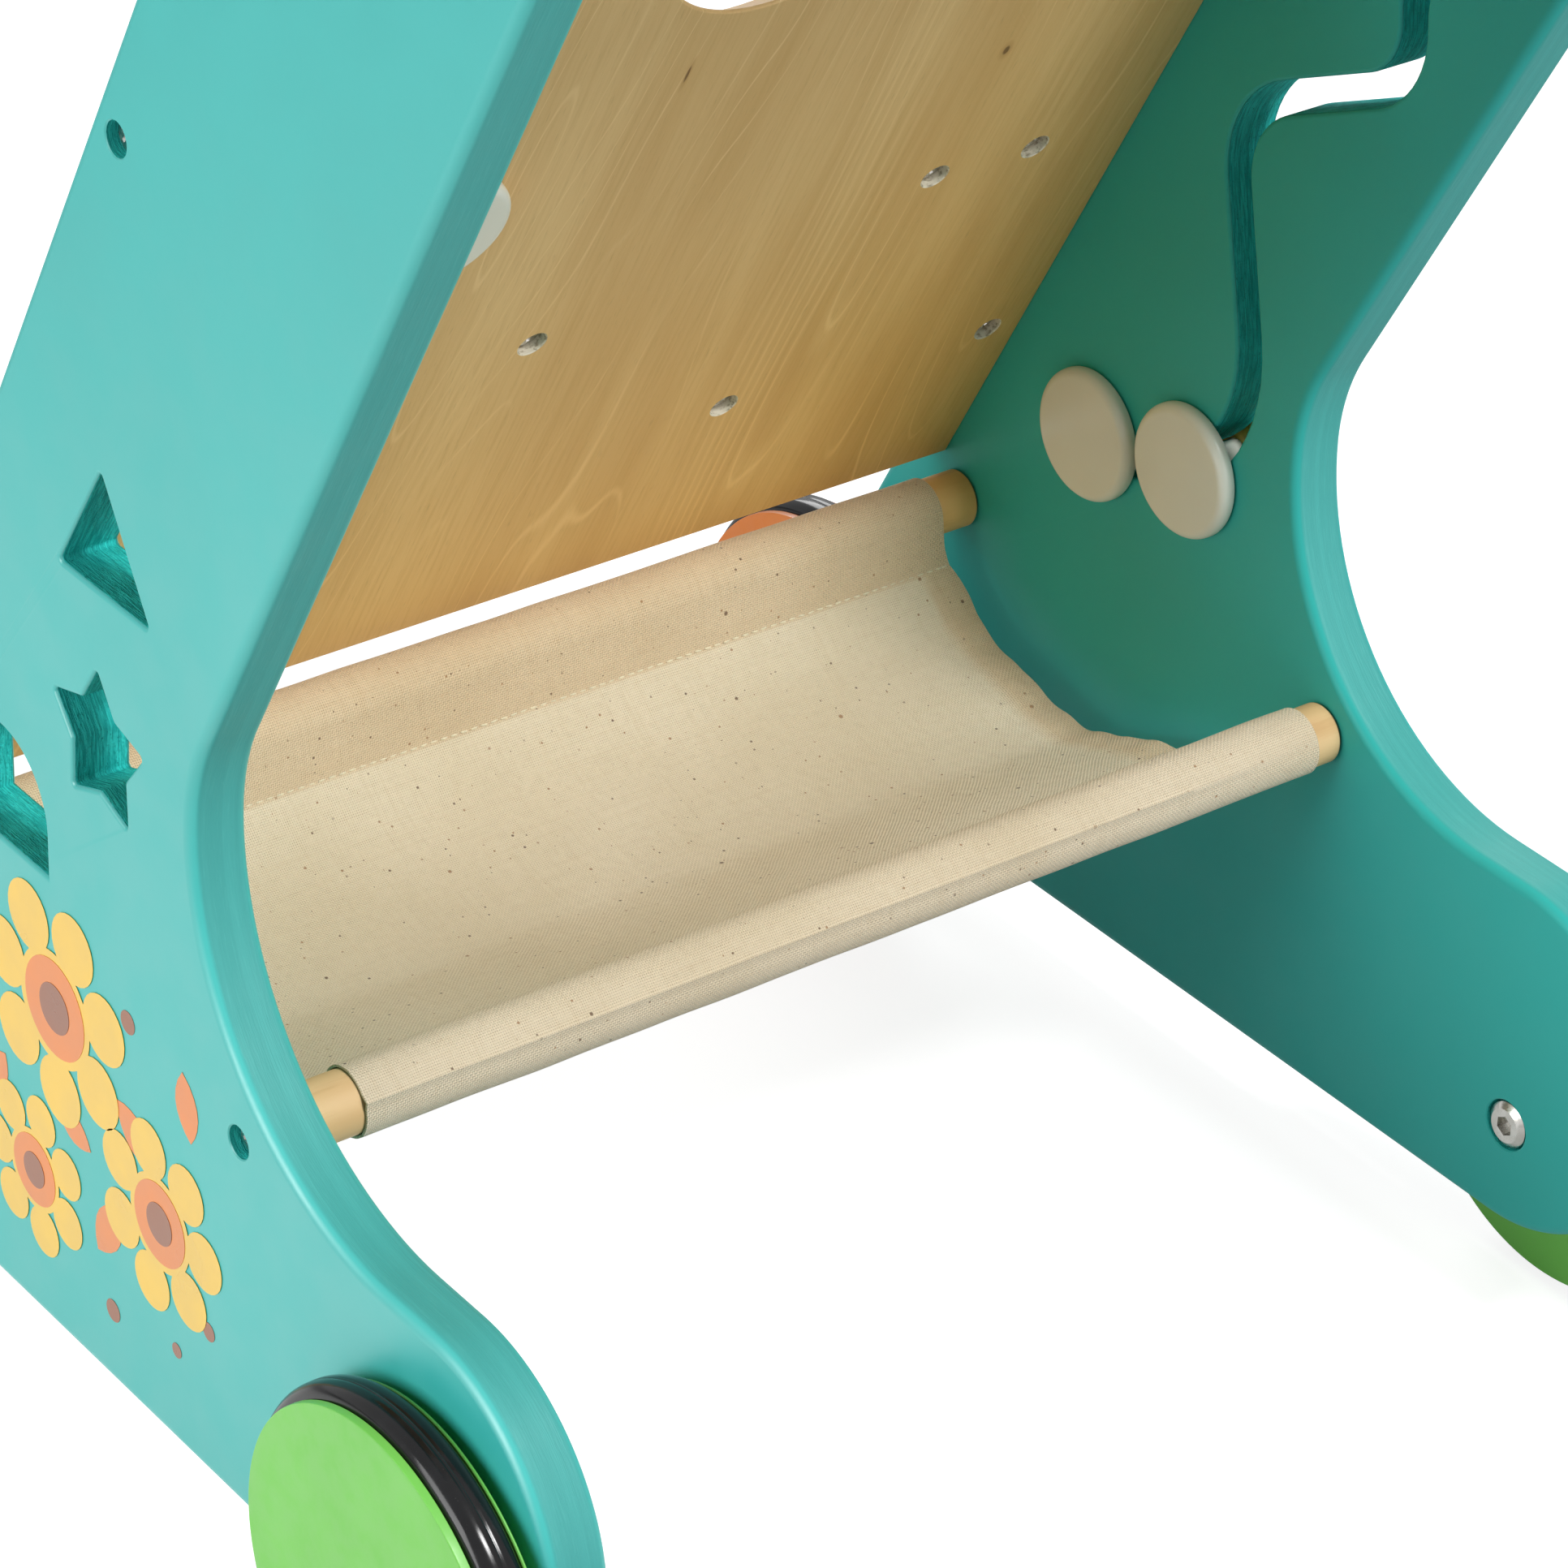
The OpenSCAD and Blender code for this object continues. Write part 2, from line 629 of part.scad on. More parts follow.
// Stations of the four wheels: side, axle, and which way the wheel lies off the panel
module station(side, front) {
    face = front ? half_w : outer_x;
    way = front ? -side : side;
    axis_x(side * face, front ? front_axle : rear_axle, way) children();
}
module wheel_on(side, front) {
    station(side, front) translate([0, 0, washer_t + play]) children();
}
module rear_left_core() { color(green) wheel_on(-1, false) wheel_core(); }
module rear_left_tyre() { color(black) wheel_on(-1, false) wheel_tyre(); }
module rear_left_cover() { color(green) wheel_on(-1, false) wheel_cover(); }
module rear_left_bolt() { color(zinc) station(-1, false) axle_bolt(); }
module rear_left_washer() { color(zinc) station(-1, false) axle_washer(); }
module rear_left_nut() { color(zinc) station(-1, false) axle_nut(); }
module rear_right_core() { color(green) wheel_on(1, false) wheel_core(); }
module rear_right_tyre() { color(black) wheel_on(1, false) wheel_tyre(); }
module rear_right_cover() { color(green) wheel_on(1, false) wheel_cover(); }
module rear_right_bolt() { color(zinc) station(1, false) axle_bolt(); }
module rear_right_washer() { color(zinc) station(1, false) axle_washer(); }
module rear_right_nut() { color(zinc) station(1, false) axle_nut(); }
module front_left_core() { color(orange) wheel_on(-1, true) wheel_core(); }
module front_left_tyre() { color(black) wheel_on(-1, true) wheel_tyre(); }
module front_left_cover() { color(orange) wheel_on(-1, true) wheel_cover(); }
module front_left_bolt() { color(zinc) station(-1, true) axle_bolt(); }
module front_left_washer() { color(zinc) station(-1, true) axle_washer(); }
module front_left_nut() { color(zinc) station(-1, true) axle_nut(); }
module front_right_core() { color(orange) wheel_on(1, true) wheel_core(); }
module front_right_tyre() { color(black) wheel_on(1, true) wheel_tyre(); }
module front_right_cover() { color(orange) wheel_on(1, true) wheel_cover(); }
module front_right_bolt() { color(zinc) station(1, true) axle_bolt(); }
module front_right_washer() { color(zinc) station(1, true) axle_washer(); }
module front_right_nut() { color(zinc) station(1, true) axle_nut(); }

// Slider: a domed disc inside the panel and a knob with a spindle outside
module domed_disc(d, t) {
    e = t * 0.42;
    rotate_extrude() {
        square([d / 2 - e, t]);
        square([d / 2, t - e]);
        intersection() {
            translate([d / 2 - e, t - e]) circle(e);
            translate([0, 0]) square([d, t]);
        }
    }
}
spindle_len = panel_t + 2 * play + disc_t * 0.6;
module slider_disc(c) {
    axis_x(half_w - play, c, -1) difference() {
        domed_disc(disc_d, disc_t);
        translate([0, 0, -1]) cylinder(d = spindle_d, h = disc_t * 0.6 + 1);
    }
}
module slider_knob(c) {
    axis_x(outer_x + play, c, 1) {
        domed_disc(knob_d, knob_t);
        translate([0, 0, -spindle_len]) cylinder(d = spindle_d, h = spindle_len + eps);
    }
}
module lower_slider_disc() { color(cream) slider_disc(lower_slider_c); }
module lower_slider_knob() { color(orange) slider_knob(lower_slider_c); }
module upper_slider_disc() { color(cream) slider_disc(upper_slider_c); }
module upper_slider_knob() { color(yellow) slider_knob(upper_slider_c); }

// Gears on the front of the board, each on a fixed peg
module cog(turn) {
    difference() {
        union() {
            cylinder(r = gear_root_r, h = gear_t);
            for (i = [0:gear_teeth - 1]) rotate(turn + 360 * i / gear_teeth)
                translate([tooth_c, 0, 0]) cylinder(r = tooth_r, h = gear_t);
        }
        translate([0, 0, -1]) cylinder(d = peg_d + 2 * run_fit, h = gear_t + 2);
    }
}
module gear_peg() {
    difference() {
        union() {
            cylinder(d = peg_cap_d, h = gear_gap);
            cylinder(d = peg_d, h = gear_gap + gear_t + 2 * play);
            translate([0, 0, gear_gap + gear_t + 2 * play]) domed_disc(peg_cap_d, peg_cap_t);
        }
        translate([0, 0, -1]) cylinder(d = screw_d, h = board_screw_in + 1.5);
    }
}
module at_gear(c) {
    on_front() translate([c[0], c[1], 0]) children();
}
module upper_gear() {
    color(orange) at_gear(gear_a) translate([0, 0, gear_gap + play]) cog(gear_dir);
}
module upper_gear_peg() { color(cream) at_gear(gear_a) gear_peg(); }
module lower_gear() {
    color(green) at_gear(gear_b) translate([0, 0, gear_gap + play]) cog(gear_dir + 180 + 180 / gear_teeth);
}
module lower_gear_peg() { color(cream) at_gear(gear_b) gear_peg(); }

// Two posts with a rod between them, and a bead on the rod
module bead_rail() {
    color(pale_wood) on_front() difference() {
        union() {
            for (x = rail_x) translate([x, rail_s, 0]) cylinder(d = rail_post_d, h = rail_post_h);
            translate([rail_x[0], rail_s, rail_rod_h]) rotate([0, 90, 0]) cylinder(d = rail_rod_d, h = rail_span);
        }
        for (x = rail_x) translate([x, rail_s, -1]) cylinder(d = screw_d, h = board_screw_in + 1.5);
    }
}
module rail_bead() {
    edge = bead_w * 0.3;
    color(yellow) on_front() translate([rail_mid - bead_w / 2, rail_s, rail_rod_h]) rotate([0, 90, 0])
        rotate_extrude() difference() {
            union() {
                square([bead_d / 2 - edge, bead_w]);
                translate([0, edge]) square([bead_d / 2, bead_w - 2 * edge]);
                for (z = [edge, bead_w - edge]) translate([bead_d / 2 - edge, z]) circle(edge);
            }
            translate([-1, -1]) square([rail_rod_d / 2 + run_fit + 1, bead_w + 2]);
        }
}
module fixed_knob() {
    color(orange) on_front() translate([stud_x, stud_s, 0]) difference() {
        domed_disc(stud_d, stud_h);
        translate([0, 0, -1]) cylinder(d = screw_d, h = board_screw_in + 1.5);
    }
}

// Spinner: petals on a spindle through the board, held by a disc at the back
module spinner_petals() {
    color(yellow) on_front() translate([spinner_c[0], spinner_c[1], 0]) {
        translate([0, 0, -board_t - play - disc_t * 0.6]) cylinder(d = spindle_d, h = board_t + play + disc_t * 0.6 + 2);
        translate([0, 0, play]) cylinder(d = spindle_d + 6, h = spinner_lift);
        translate([0, 0, spinner_lift]) {
            cylinder(d = spinner_d * 0.5, h = spinner_t);
            for (i = [0:5]) rotate(60 * i) translate([spinner_d * 0.35, 0, 0])
                cylinder(d = spinner_d * 0.3, h = spinner_t);
        }
    }
}
module spinner_disc() {
    color(cream) on_board() translate([spinner_c[0], spinner_c[1], play]) difference() {
        domed_disc(disc_d, disc_t);
        translate([0, 0, -1]) cylinder(d = spindle_d, h = disc_t * 0.6 + 1);
    }
}

left_side_panel();
right_side_panel();
activity_board();
handle_bar();
front_dowel();
rear_dowel();
basket_sling();
left_panel_screws();
right_panel_screws();
board_screws();
rear_left_core();
rear_left_tyre();
rear_left_cover();
rear_left_bolt();
rear_left_washer();
rear_left_nut();
rear_right_core();
rear_right_tyre();
rear_right_cover();
rear_right_bolt();
rear_right_washer();
rear_right_nut();
front_left_core();
front_left_tyre();
front_left_cover();
front_left_bolt();
front_left_washer();
front_left_nut();
front_right_core();
front_right_tyre();
front_right_cover();
front_right_bolt();
front_right_washer();
front_right_nut();
lower_slider_disc();
lower_slider_knob();
upper_slider_disc();
upper_slider_knob();
upper_gear();
upper_gear_peg();
lower_gear();
lower_gear_peg();
bead_rail();
rail_bead();
fixed_knob();
spinner_disc();
spinner_petals();
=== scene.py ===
"""Visible pieces of a wooden push walker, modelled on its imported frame."""
import math
import random
from contextlib import contextmanager

import bpy
from bpy.props import FloatProperty, FloatVectorProperty, IntProperty, PointerProperty
from bpy.types import Operator, Panel, PropertyGroup
from mathutils import Matrix, Vector, noise


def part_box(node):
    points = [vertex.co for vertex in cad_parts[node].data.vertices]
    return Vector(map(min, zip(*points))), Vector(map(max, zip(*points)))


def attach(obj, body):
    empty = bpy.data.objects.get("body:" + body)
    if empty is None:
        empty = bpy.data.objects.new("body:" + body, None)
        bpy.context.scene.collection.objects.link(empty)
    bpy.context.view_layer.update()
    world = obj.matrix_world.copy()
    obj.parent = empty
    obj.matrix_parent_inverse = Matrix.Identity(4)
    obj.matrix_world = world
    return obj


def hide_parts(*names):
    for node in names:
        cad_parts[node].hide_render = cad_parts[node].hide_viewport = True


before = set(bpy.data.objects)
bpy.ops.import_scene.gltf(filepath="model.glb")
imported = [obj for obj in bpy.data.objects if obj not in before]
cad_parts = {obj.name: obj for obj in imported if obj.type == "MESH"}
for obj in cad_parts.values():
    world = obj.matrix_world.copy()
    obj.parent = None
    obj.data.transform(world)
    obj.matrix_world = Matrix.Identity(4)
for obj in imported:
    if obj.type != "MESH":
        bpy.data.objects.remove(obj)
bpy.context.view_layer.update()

bl_info = {
    "name": "Push walker",
    "version": (1, 0, 0),
    "blender": (4, 5, 0),
    "location": "View3D > Sidebar > Walker",
    "description": "Builds the visible pieces of a wooden push walker on its packed frame",
    "category": "Object",
}

MM = 0.001
LEAN = math.radians(28.2)
SIN, COS = math.sin(LEAN), math.cos(LEAN)

# Places in millimetres: X to the right, Y forwards, Z up from the floor.
INNER_X, OUTER_X = 150, 165
PANEL_X = 157.5
PANEL_T = 15.0
BOARD_T = 9.0
BAR_D, HANDLE_D = 15.5, 24.0
WINDOW, WINDOW_D = (0, 268), 74
# Width, depth and lip of the bores round the screws and the axle bolts.
SCREW_SINK = (8.1, 5.0, 0.3)
BOLT_SINK = (13.6, 3.5, 0.3)
# How far across the wheels' inner faces and the bolts' heads lie, rear and front.
WHEEL_X, BOLT_X = (167.3, 147.7), (153.5, 161.5)
FRONT_AXLE = (131.0, 52.5)
REAR_AXLE = (-131.0, 52.5)
REAR_DOWEL = (-53.6, 126.0)
FRONT_DOWEL = (89.7, 126.0)
HANDLE = (-113.427, 455.874)
EDGE_SCREWS = ((66.9, 202.08), (-12.48, 350.14))
PANEL_SCREWS = (REAR_DOWEL, FRONT_DOWEL, HANDLE) + EDGE_SCREWS
# On the board: across, and up its slope from its foot.
BOARD_SCREWS = ((-23.0, 118.0), (54.0, 61.0), (86.8, 139.0), (117.6, 139.0), (138.8, 57.5))
GEARS = BOARD_SCREWS[:2]
GEAR_BORE, GEAR_T, GEAR_UP = 14.12, 9.0, 15.3
RAIL_POSTS = BOARD_SCREWS[2:4]
STUD = BOARD_SCREWS[4]
SPINNER = (-70.5, 180.5)
# Width, thickness, edge and dome of the cream discs.
BACK_DISC = (35.4, 4.5, 2.5, 0.3)
# On the right panel: the slot's start, and the middle of its first bend.
LOWER_SLIDER = (39.031, 167.943)
BEND = (27.2686, 209.5105)
BEND_R = 43.2
SLIDER_GAP = 37.6
SLOT_W, SLOT_START = 8.4, 195.8
# Each step of the slot's middle line: a radius and a turn in degrees, or no radius and a straight run.
SLOT_STEPS = ((BEND_R, -118.2), (0, 39.0), (24, 77.9), (0, 32.0), (20, -75.5), (24, 38.0), (0, 44.0))


def linear(*rgb):
    """A colour given as it looks on screen, 0 to 255, as scene values."""
    return tuple(((c / 255 + 0.055) / 1.055) ** 2.4 if c > 10 else c / 255 / 12.92 for c in rgb)


def length(name, about, value):
    return FloatProperty(name=name, description=about, default=value * MM, min=0.0, unit="LENGTH", precision=5)


def colour(name, about, *rgb):
    return FloatVectorProperty(name=name, description=about, default=linear(*rgb), size=3, min=0.0, max=1.0,
                               subtype="COLOR")


def power(name, about, watts):
    return FloatProperty(name=name, description=about, default=watts, min=0.0, unit="POWER")


class WalkerWoodwork(PropertyGroup):
    """Sizes and colours of the panels, the board and the round bars."""

    arris: length("Panel arris", "Radius that the long edges of the side panels are rounded to", 3.0)
    cut_arris: length("Cut-out arris", "Radius round the slot and the shape cut-outs", 1.1)
    board_arris: length("Board arris", "Radius on the edges of the activity board", 0.6)
    bar_arris: length("Bar arris", "Chamfer on the ends of the round bars", 0.8)
    paint: colour("Panel paint", "Teal paint of the side panels", 57, 187, 181)
    ply: colour("Board", "Lacquered plywood of the activity board", 237, 202, 143)
    ply_dark: colour("Board grain", "Darker grain of the activity board", 217, 177, 116)
    dowel: colour("Dowel", "Bare wood of the round bars", 232, 198, 148)


class WalkerWheels(PropertyGroup):
    """Colours and make of the wheels."""

    rear: colour("Rear wheels", "Green plastic of the rear wheels", 124, 209, 90)
    front: colour("Front wheels", "Orange plastic of the front wheels", 236, 136, 58)
    tyre: colour("Tyres", "Black rubber of the tyres", 15, 15, 17)
    mould_line: length("Mould line", "Height of the line round the middle of a tyre", 0.22)


class WalkerCloth(PropertyGroup):
    """Make of the cloth basket."""

    thick: length("Cloth", "Thickness of the cloth", 0.6)
    thread: length("Thread pitch", "Distance between neighbouring threads of the weave", 0.58)
    stitch: length("Stitch", "Distance between neighbouring stitches", 3.0)
    cotton: colour("Cotton", "Unbleached cotton of the basket", 243, 231, 206)
    seam: colour("Sewing thread", "Thread of the seams", 240, 229, 200)
    rows: IntProperty(name="Rows", description="Mesh rows along the cloth", default=232, min=40, max=300)
    columns: IntProperty(name="Columns", description="Mesh columns across the cloth", default=140, min=40, max=220)


class WalkerToys(PropertyGroup):
    """Colours of the play pieces."""

    cream: colour("Cream", "Back discs and gear pegs", 236, 238, 226)
    orange: colour("Orange", "Orange painted pieces", 236, 138, 62)
    green: colour("Green", "Green painted pieces", 140, 200, 96)
    yellow: colour("Yellow", "Yellow painted pieces", 246, 202, 76)
    brown: colour("Brown", "Brown of the side print", 150, 92, 62)


class WalkerStage(PropertyGroup):
    """Light round the walker."""

    sky: FloatProperty(name="Sky", description="Strength of the even light from all round", default=0.05, min=0.0)
    key: power("Side light", "Power of the large light on the left", 28.5)
    top: power("Top light", "Power of the light high above the rear", 37.0)
    fill: power("Rear light", "Power of the low light behind", 15.5)
    front: power("Front light", "Power of the light in front and to the right", 28.0)


# Handling of objects


def clear_selection():
    if bpy.context.object and bpy.context.object.mode != "OBJECT":
        bpy.ops.object.mode_set(mode="OBJECT")
    bpy.ops.object.select_all(action="DESELECT")


def only(piece):
    clear_selection()
    piece.select_set(True)
    bpy.context.view_layer.objects.active = piece


def named(piece, name):
    piece.name = piece.data.name = name
    return piece


def begin(add, name, **settings):
    """A new object from one of the add operators."""
    clear_selection()
    add(**settings)
    return named(bpy.context.object, name)


def tuned(made, **settings):
    for key, value in settings.items():
        setattr(made, key, value)
    return made


def modified(piece, kind, **settings):
    """Adds a modifier to a piece and applies it."""
    only(piece)
    made = tuned(piece.modifiers.new(kind, kind), **settings)
    bpy.ops.object.modifier_apply(modifier=made.name)
    return piece


@contextmanager
def editing(piece):
    """Opens all of a piece's mesh in Edit Mode."""
    only(piece)
    bpy.ops.object.mode_set(mode="EDIT")
    bpy.ops.mesh.select_all(action="SELECT")
    yield bpy.ops.mesh
    bpy.ops.object.mode_set(mode="OBJECT")


def close_up(piece):
    """Merges the points that lie on each other and turns every face outwards."""
    with editing(piece) as mesh:
        mesh.remove_doubles(threshold=1e-6)
        mesh.normals_make_consistent(inside=False)
    return piece


def place(piece, where):
    """Moves a piece to its place and keeps the place in its mesh."""
    only(piece)
    piece.matrix_world = where
    bpy.ops.object.transform_apply(location=True, rotation=True, scale=True)
    return piece


def smooth(piece, angle=32.0, even=True):
    """Smooth shading that keeps flat faces flat."""
    only(piece)
    bpy.ops.object.shade_smooth_by_angle(angle=math.radians(angle))
    return modified(piece, "WEIGHTED_NORMAL", keep_sharp=True, weight=100) if even else piece


def join(name, pieces):
    clear_selection()
    for piece in pieces:
        piece.select_set(True)
    bpy.context.view_layer.objects.active = pieces[0]
    if len(pieces) > 1:
        bpy.ops.object.join()
    return named(pieces[0], name)


def copy_of(piece, name, where):
    """A copy with its own mesh, at its own place."""
    only(piece)
    bpy.ops.object.duplicate(linked=False)
    twin = bpy.context.object
    twin.name = name
    return place(twin, where)


def drop(*pieces):
    for piece in pieces:
        mesh = piece.data
        bpy.data.objects.remove(piece)
        bpy.data.meshes.remove(mesh)


def dress(piece, finish, body="frame", nodes=()):
    """Gives a piece its finish, the body it rides on and the nodes it stands for."""
    piece.data.materials.clear()
    piece.data.materials.append(finish())
    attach(piece, body)
    if nodes:
        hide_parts(*nodes)
    return piece


def stand(at, axis, side=(0, 0, 1)):
    """A place whose Z runs along axis and whose X points to one side, at a point in millimetres."""
    z = Vector(axis).normalized()
    x = Vector(side) - Vector(side).dot(z) * z
    x.normalize()
    y = z.cross(x)
    turn = Matrix((x, y, z)).transposed().to_4x4()
    return Matrix.Translation(Vector(at) * MM) @ turn


def across(x, c, way):
    """A place on a line across the walker that faces right or left."""
    return stand((x, *c), (way, 0, 0))


def at_axles(rear_x, front_x, out):
    """Each wheel's row, name and place; with out 1 the rear ones face outwards and the front ones inwards."""
    for row, axle, x, way in (("rear", REAR_AXLE, rear_x, out), ("front", FRONT_AXLE, front_x, -out)):
        for side, side_name in ((-1, "left"), (1, "right")):
            yield row, f"{row}_{side_name}", across(side * x, axle, side * way)


def on_panel(x):
    """A drawing in Y and Z, laid upright at a place across the walker."""
    return Matrix(((0, 0, 1, x * MM), (1, 0, 0, 0), (0, 1, 0, 0), (0, 0, 0, 1)))


BOARD_FOOT = Vector((0, 96.966, 136.5))
SLOPE = Vector((0, -SIN, COS))
BACKWARDS = Vector((0, -COS, -SIN))


def at_board(x, s, n=0.0):
    """A point across, up the slope and in front of the board's back face."""
    return BOARD_FOOT + Vector((x, 0, 0)) + SLOPE * s - BACKWARDS * n


def on_board(x=0.0, s=0.0, n=0.0):
    """A drawing in X and up the slope that faces backwards."""
    return stand(at_board(x, s, n), BACKWARDS, (1, 0, 0))


def off_board(x, s, n):
    """A turned piece that stands on the front of the board."""
    return stand(at_board(x, s, n), -BACKWARDS, (-1, 0, 0))


# Drawing of outlines, in millimetres


def polar(r, turn, at=(0, 0)):
    """The point at a distance and a direction in degrees."""
    a = math.radians(turn)
    return (at[0] + r * math.cos(a), at[1] + r * math.sin(a))


def arc(centre, r, start, end, steps):
    return [polar(r, start + (end - start) * i / steps, centre) for i in range(steps + 1)]


def ring(d, steps=48, at=(0, 0)):
    return arc(at, d / 2, 0, 360, steps)[:-1]


def rounded(points, radii, step):
    """A closed outline whose corners are arcs that meet its sides, in steps of some degrees."""
    loop = []
    count = len(points)
    for i, r in enumerate(radii):
        p = Vector(points[i])
        a = (Vector(points[i - 1]) - p).normalized()
        b = (Vector(points[(i + 1) % count]) - p).normalized()
        half = math.acos(max(-1, min(1, a.dot(b)))) / 2
        centre = p + (a + b).normalized() * (r / math.sin(half))
        first = p + a * (r / math.tan(half)) - centre
        last = p + b * (r / math.tan(half)) - centre
        start = math.degrees(math.atan2(first.y, first.x))
        sweep = (math.degrees(math.atan2(last.y, last.x)) - start + 180) % 360 - 180
        loop += arc(centre, r, start, start + sweep, max(2, math.ceil(abs(sweep) / step)))
    return loop


def grown(loop, by):
    """The loop moved outwards along its sides; it runs counterclockwise."""
    moved = []
    for i, p in enumerate(loop):
        p = Vector(p)
        a = (p - Vector(loop[i - 1])).normalized()
        b = (Vector(loop[(i + 1) % len(loop)]) - p).normalized()
        na, nb = Vector((a.y, -a.x)), Vector((b.y, -b.x))
        mid = (na + nb).normalized()
        moved.append(tuple(p + mid * by / max(0.4, mid.dot(na))))
    return moved


def panel_outline():
    margin, arm_w, bottom, top, top_r = 23.7, 97.0, 24.6, 502.0, 44.0
    haunch_top, haunch_r, haunch_y = 120.0, 47.69, -127.6

    def edge_y(off, z):
        return FRONT_AXLE[0] + (off - (z - FRONT_AXLE[1]) * SIN) / COS

    def arm(back, up):
        out = margin - back
        return (FRONT_AXLE[0] + COS * out - SIN * up, FRONT_AXLE[1] + SIN * out + COS * up)

    rear = margin - arm_w
    end = (top - top_r - FRONT_AXLE[1] - (margin - top_r) * SIN) / COS + top_r
    rise = 54.0 * math.tan(LEAN / 2)
    notch = min(75.0, (edge_y(rear, haunch_top + rise) - haunch_y) / (1 + math.tan(LEAN)))
    neck_z = haunch_top + notch
    neck_y = edge_y(rear, neck_z + rise)
    left = haunch_y - 47.7
    points = [(edge_y(margin, bottom), bottom), arm(0, end), arm(arm_w, end), (neck_y, neck_z + rise),
              (neck_y, haunch_top), (left, haunch_top), (left, bottom)]
    return rounded(points, [26.0, top_r, top_r, 54.0, notch, haunch_r, haunch_r], 3.0)


def slot_outline(width):
    """Both sides of the winding slot, with round ends."""
    p, heading = Vector(LOWER_SLIDER), SLOT_START
    path = [(p.copy(), heading)]
    for r, turn in SLOT_STEPS:
        if r == 0:
            p = p + Vector(polar(1, heading)) * turn
        else:
            quarter = 90 if turn > 0 else -90
            steps = max(2, math.ceil(abs(turn) / 7))
            for i in range(steps):
                centre = p + Vector(polar(1, heading + quarter)) * r
                heading += turn / steps
                p = centre - Vector(polar(1, heading + quarter)) * r
                path.append((p.copy(), heading))
            path.pop()
        path.append((p.copy(), heading))
    half = width / 2
    right, left = [], []
    for q, h in path:
        side = Vector(polar(1, h - 90)) * half
        right.append(tuple(q + side))
        left.append(tuple(q - side))
    first, last = path[0], path[-1]
    nose = arc(last[0], half, last[1] - 90, last[1] + 90, 10)[1:-1]
    tail = arc(first[0], half, first[1] + 90, first[1] + 270, 10)[1:-1]
    return right + nose + left[::-1] + tail


def triangle_outline():
    return rounded([(-20.8, 239), (16.2, 239), (-2.3, 269)], [0.9] * 3, 30)


def star_outline():
    tips = [polar(11.4 if i % 2 else 19.3, 90 + 36 * i, (1.7, 199.0)) for i in range(10)]
    return rounded(tips, [0.8, 1.6] * 5, 30)


def arch_outline():
    return [(25.7, 152.5), (64.7, 152.5)] + arc((45.2, 163.5), 19.5, 0, 180, 30)


# Root radius, the teeth's distance and radius, and their count.
COG = (43.4, 46.2, 5.39, 12)
FLOWER = (11.5, 16.1, 6.9, 6)


def cog_outline(turn, root, tooth_at, tooth, teeth, steps=10):
    """A wheel with round teeth that run into it."""
    loop = []
    meet = math.degrees(math.acos((tooth_at ** 2 + root ** 2 - tooth ** 2) / (2 * tooth_at * root)))
    pitch = 360 / teeth
    for i in range(teeth):
        mid = turn + pitch * i
        c = polar(tooth_at, mid)
        edge = Vector(polar(root, mid - meet)) - Vector(c)
        start = math.degrees(math.atan2(edge.y, edge.x)) - mid
        start = (start + 360) % 360 - 360
        loop += arc(c, tooth, mid + start, mid - start, steps)
        loop += arc((0, 0), root, mid + meet, mid + pitch - meet, 5)[1:-1]
    return loop


# Making of meshes


def cut_out(name, loops, thick, edge, rise=4):
    """A flat piece on XY with its middle at Z 0, cut to closed outlines, its arrises rounded."""
    flat = begin(bpy.ops.curve.primitive_bezier_circle_add, name, radius=0.01).data
    tuned(flat, dimensions="2D", fill_mode="BOTH").splines.clear()
    for loop in loops:
        line = flat.splines.new("POLY")
        line.points.add(len(loop) - 1)
        for point, (u, v) in zip(line.points, loop):
            point.co = (u * MM, v * MM, 0, 1)
        line.use_cyclic_u = True
    tuned(flat, extrude=(thick / 2 - edge) * MM, bevel_depth=edge * MM, bevel_resolution=rise, offset=-edge * MM)
    bpy.ops.object.convert(target="MESH")
    return close_up(named(bpy.context.object, name))


def turned(name, profile, steps=72, closed=False):
    """A piece turned about Z from a profile of radius and height in millimetres."""
    piece = begin(bpy.ops.mesh.primitive_circle_add, name, vertices=len(profile), radius=0.01)
    last = len(profile) - 1
    for vertex, (r, h) in zip(piece.data.vertices, profile):
        vertex.co = (r * MM, 0, h * MM)
        vertex.select = False
    for edge in piece.data.edges:
        edge.select = not closed and set(edge.vertices) == {0, last}
    bpy.ops.object.mode_set(mode="EDIT")
    if not closed:
        bpy.ops.mesh.select_mode(type="EDGE")
        bpy.ops.mesh.delete(type="EDGE")
    bpy.ops.mesh.select_mode(type="VERT")
    bpy.ops.mesh.select_all(action="SELECT")
    bpy.ops.mesh.spin(steps=steps, angle=2 * math.pi, center=(0, 0, 0), axis=(0, 0, 1))
    bpy.ops.object.mode_set(mode="OBJECT")
    return close_up(piece)


def lofted(name, rings):
    """A closed solid through closed rings of points in millimetres, each ring with the same count."""
    count = len(rings[0])
    piece = begin(bpy.ops.mesh.primitive_grid_add, name, x_subdivisions=count, y_subdivisions=len(rings) - 1)
    for k, vertex in enumerate(piece.data.vertices):
        j, i = divmod(k, count + 1)
        vertex.co = Vector(rings[j][i % count]) * MM
    with editing(piece) as mesh:
        mesh.remove_doubles(threshold=1e-7)
        mesh.select_all(action="SELECT")
        mesh.fill_holes(sides=0)
        mesh.select_all(action="SELECT")
        mesh.normals_make_consistent(inside=False)
    return piece


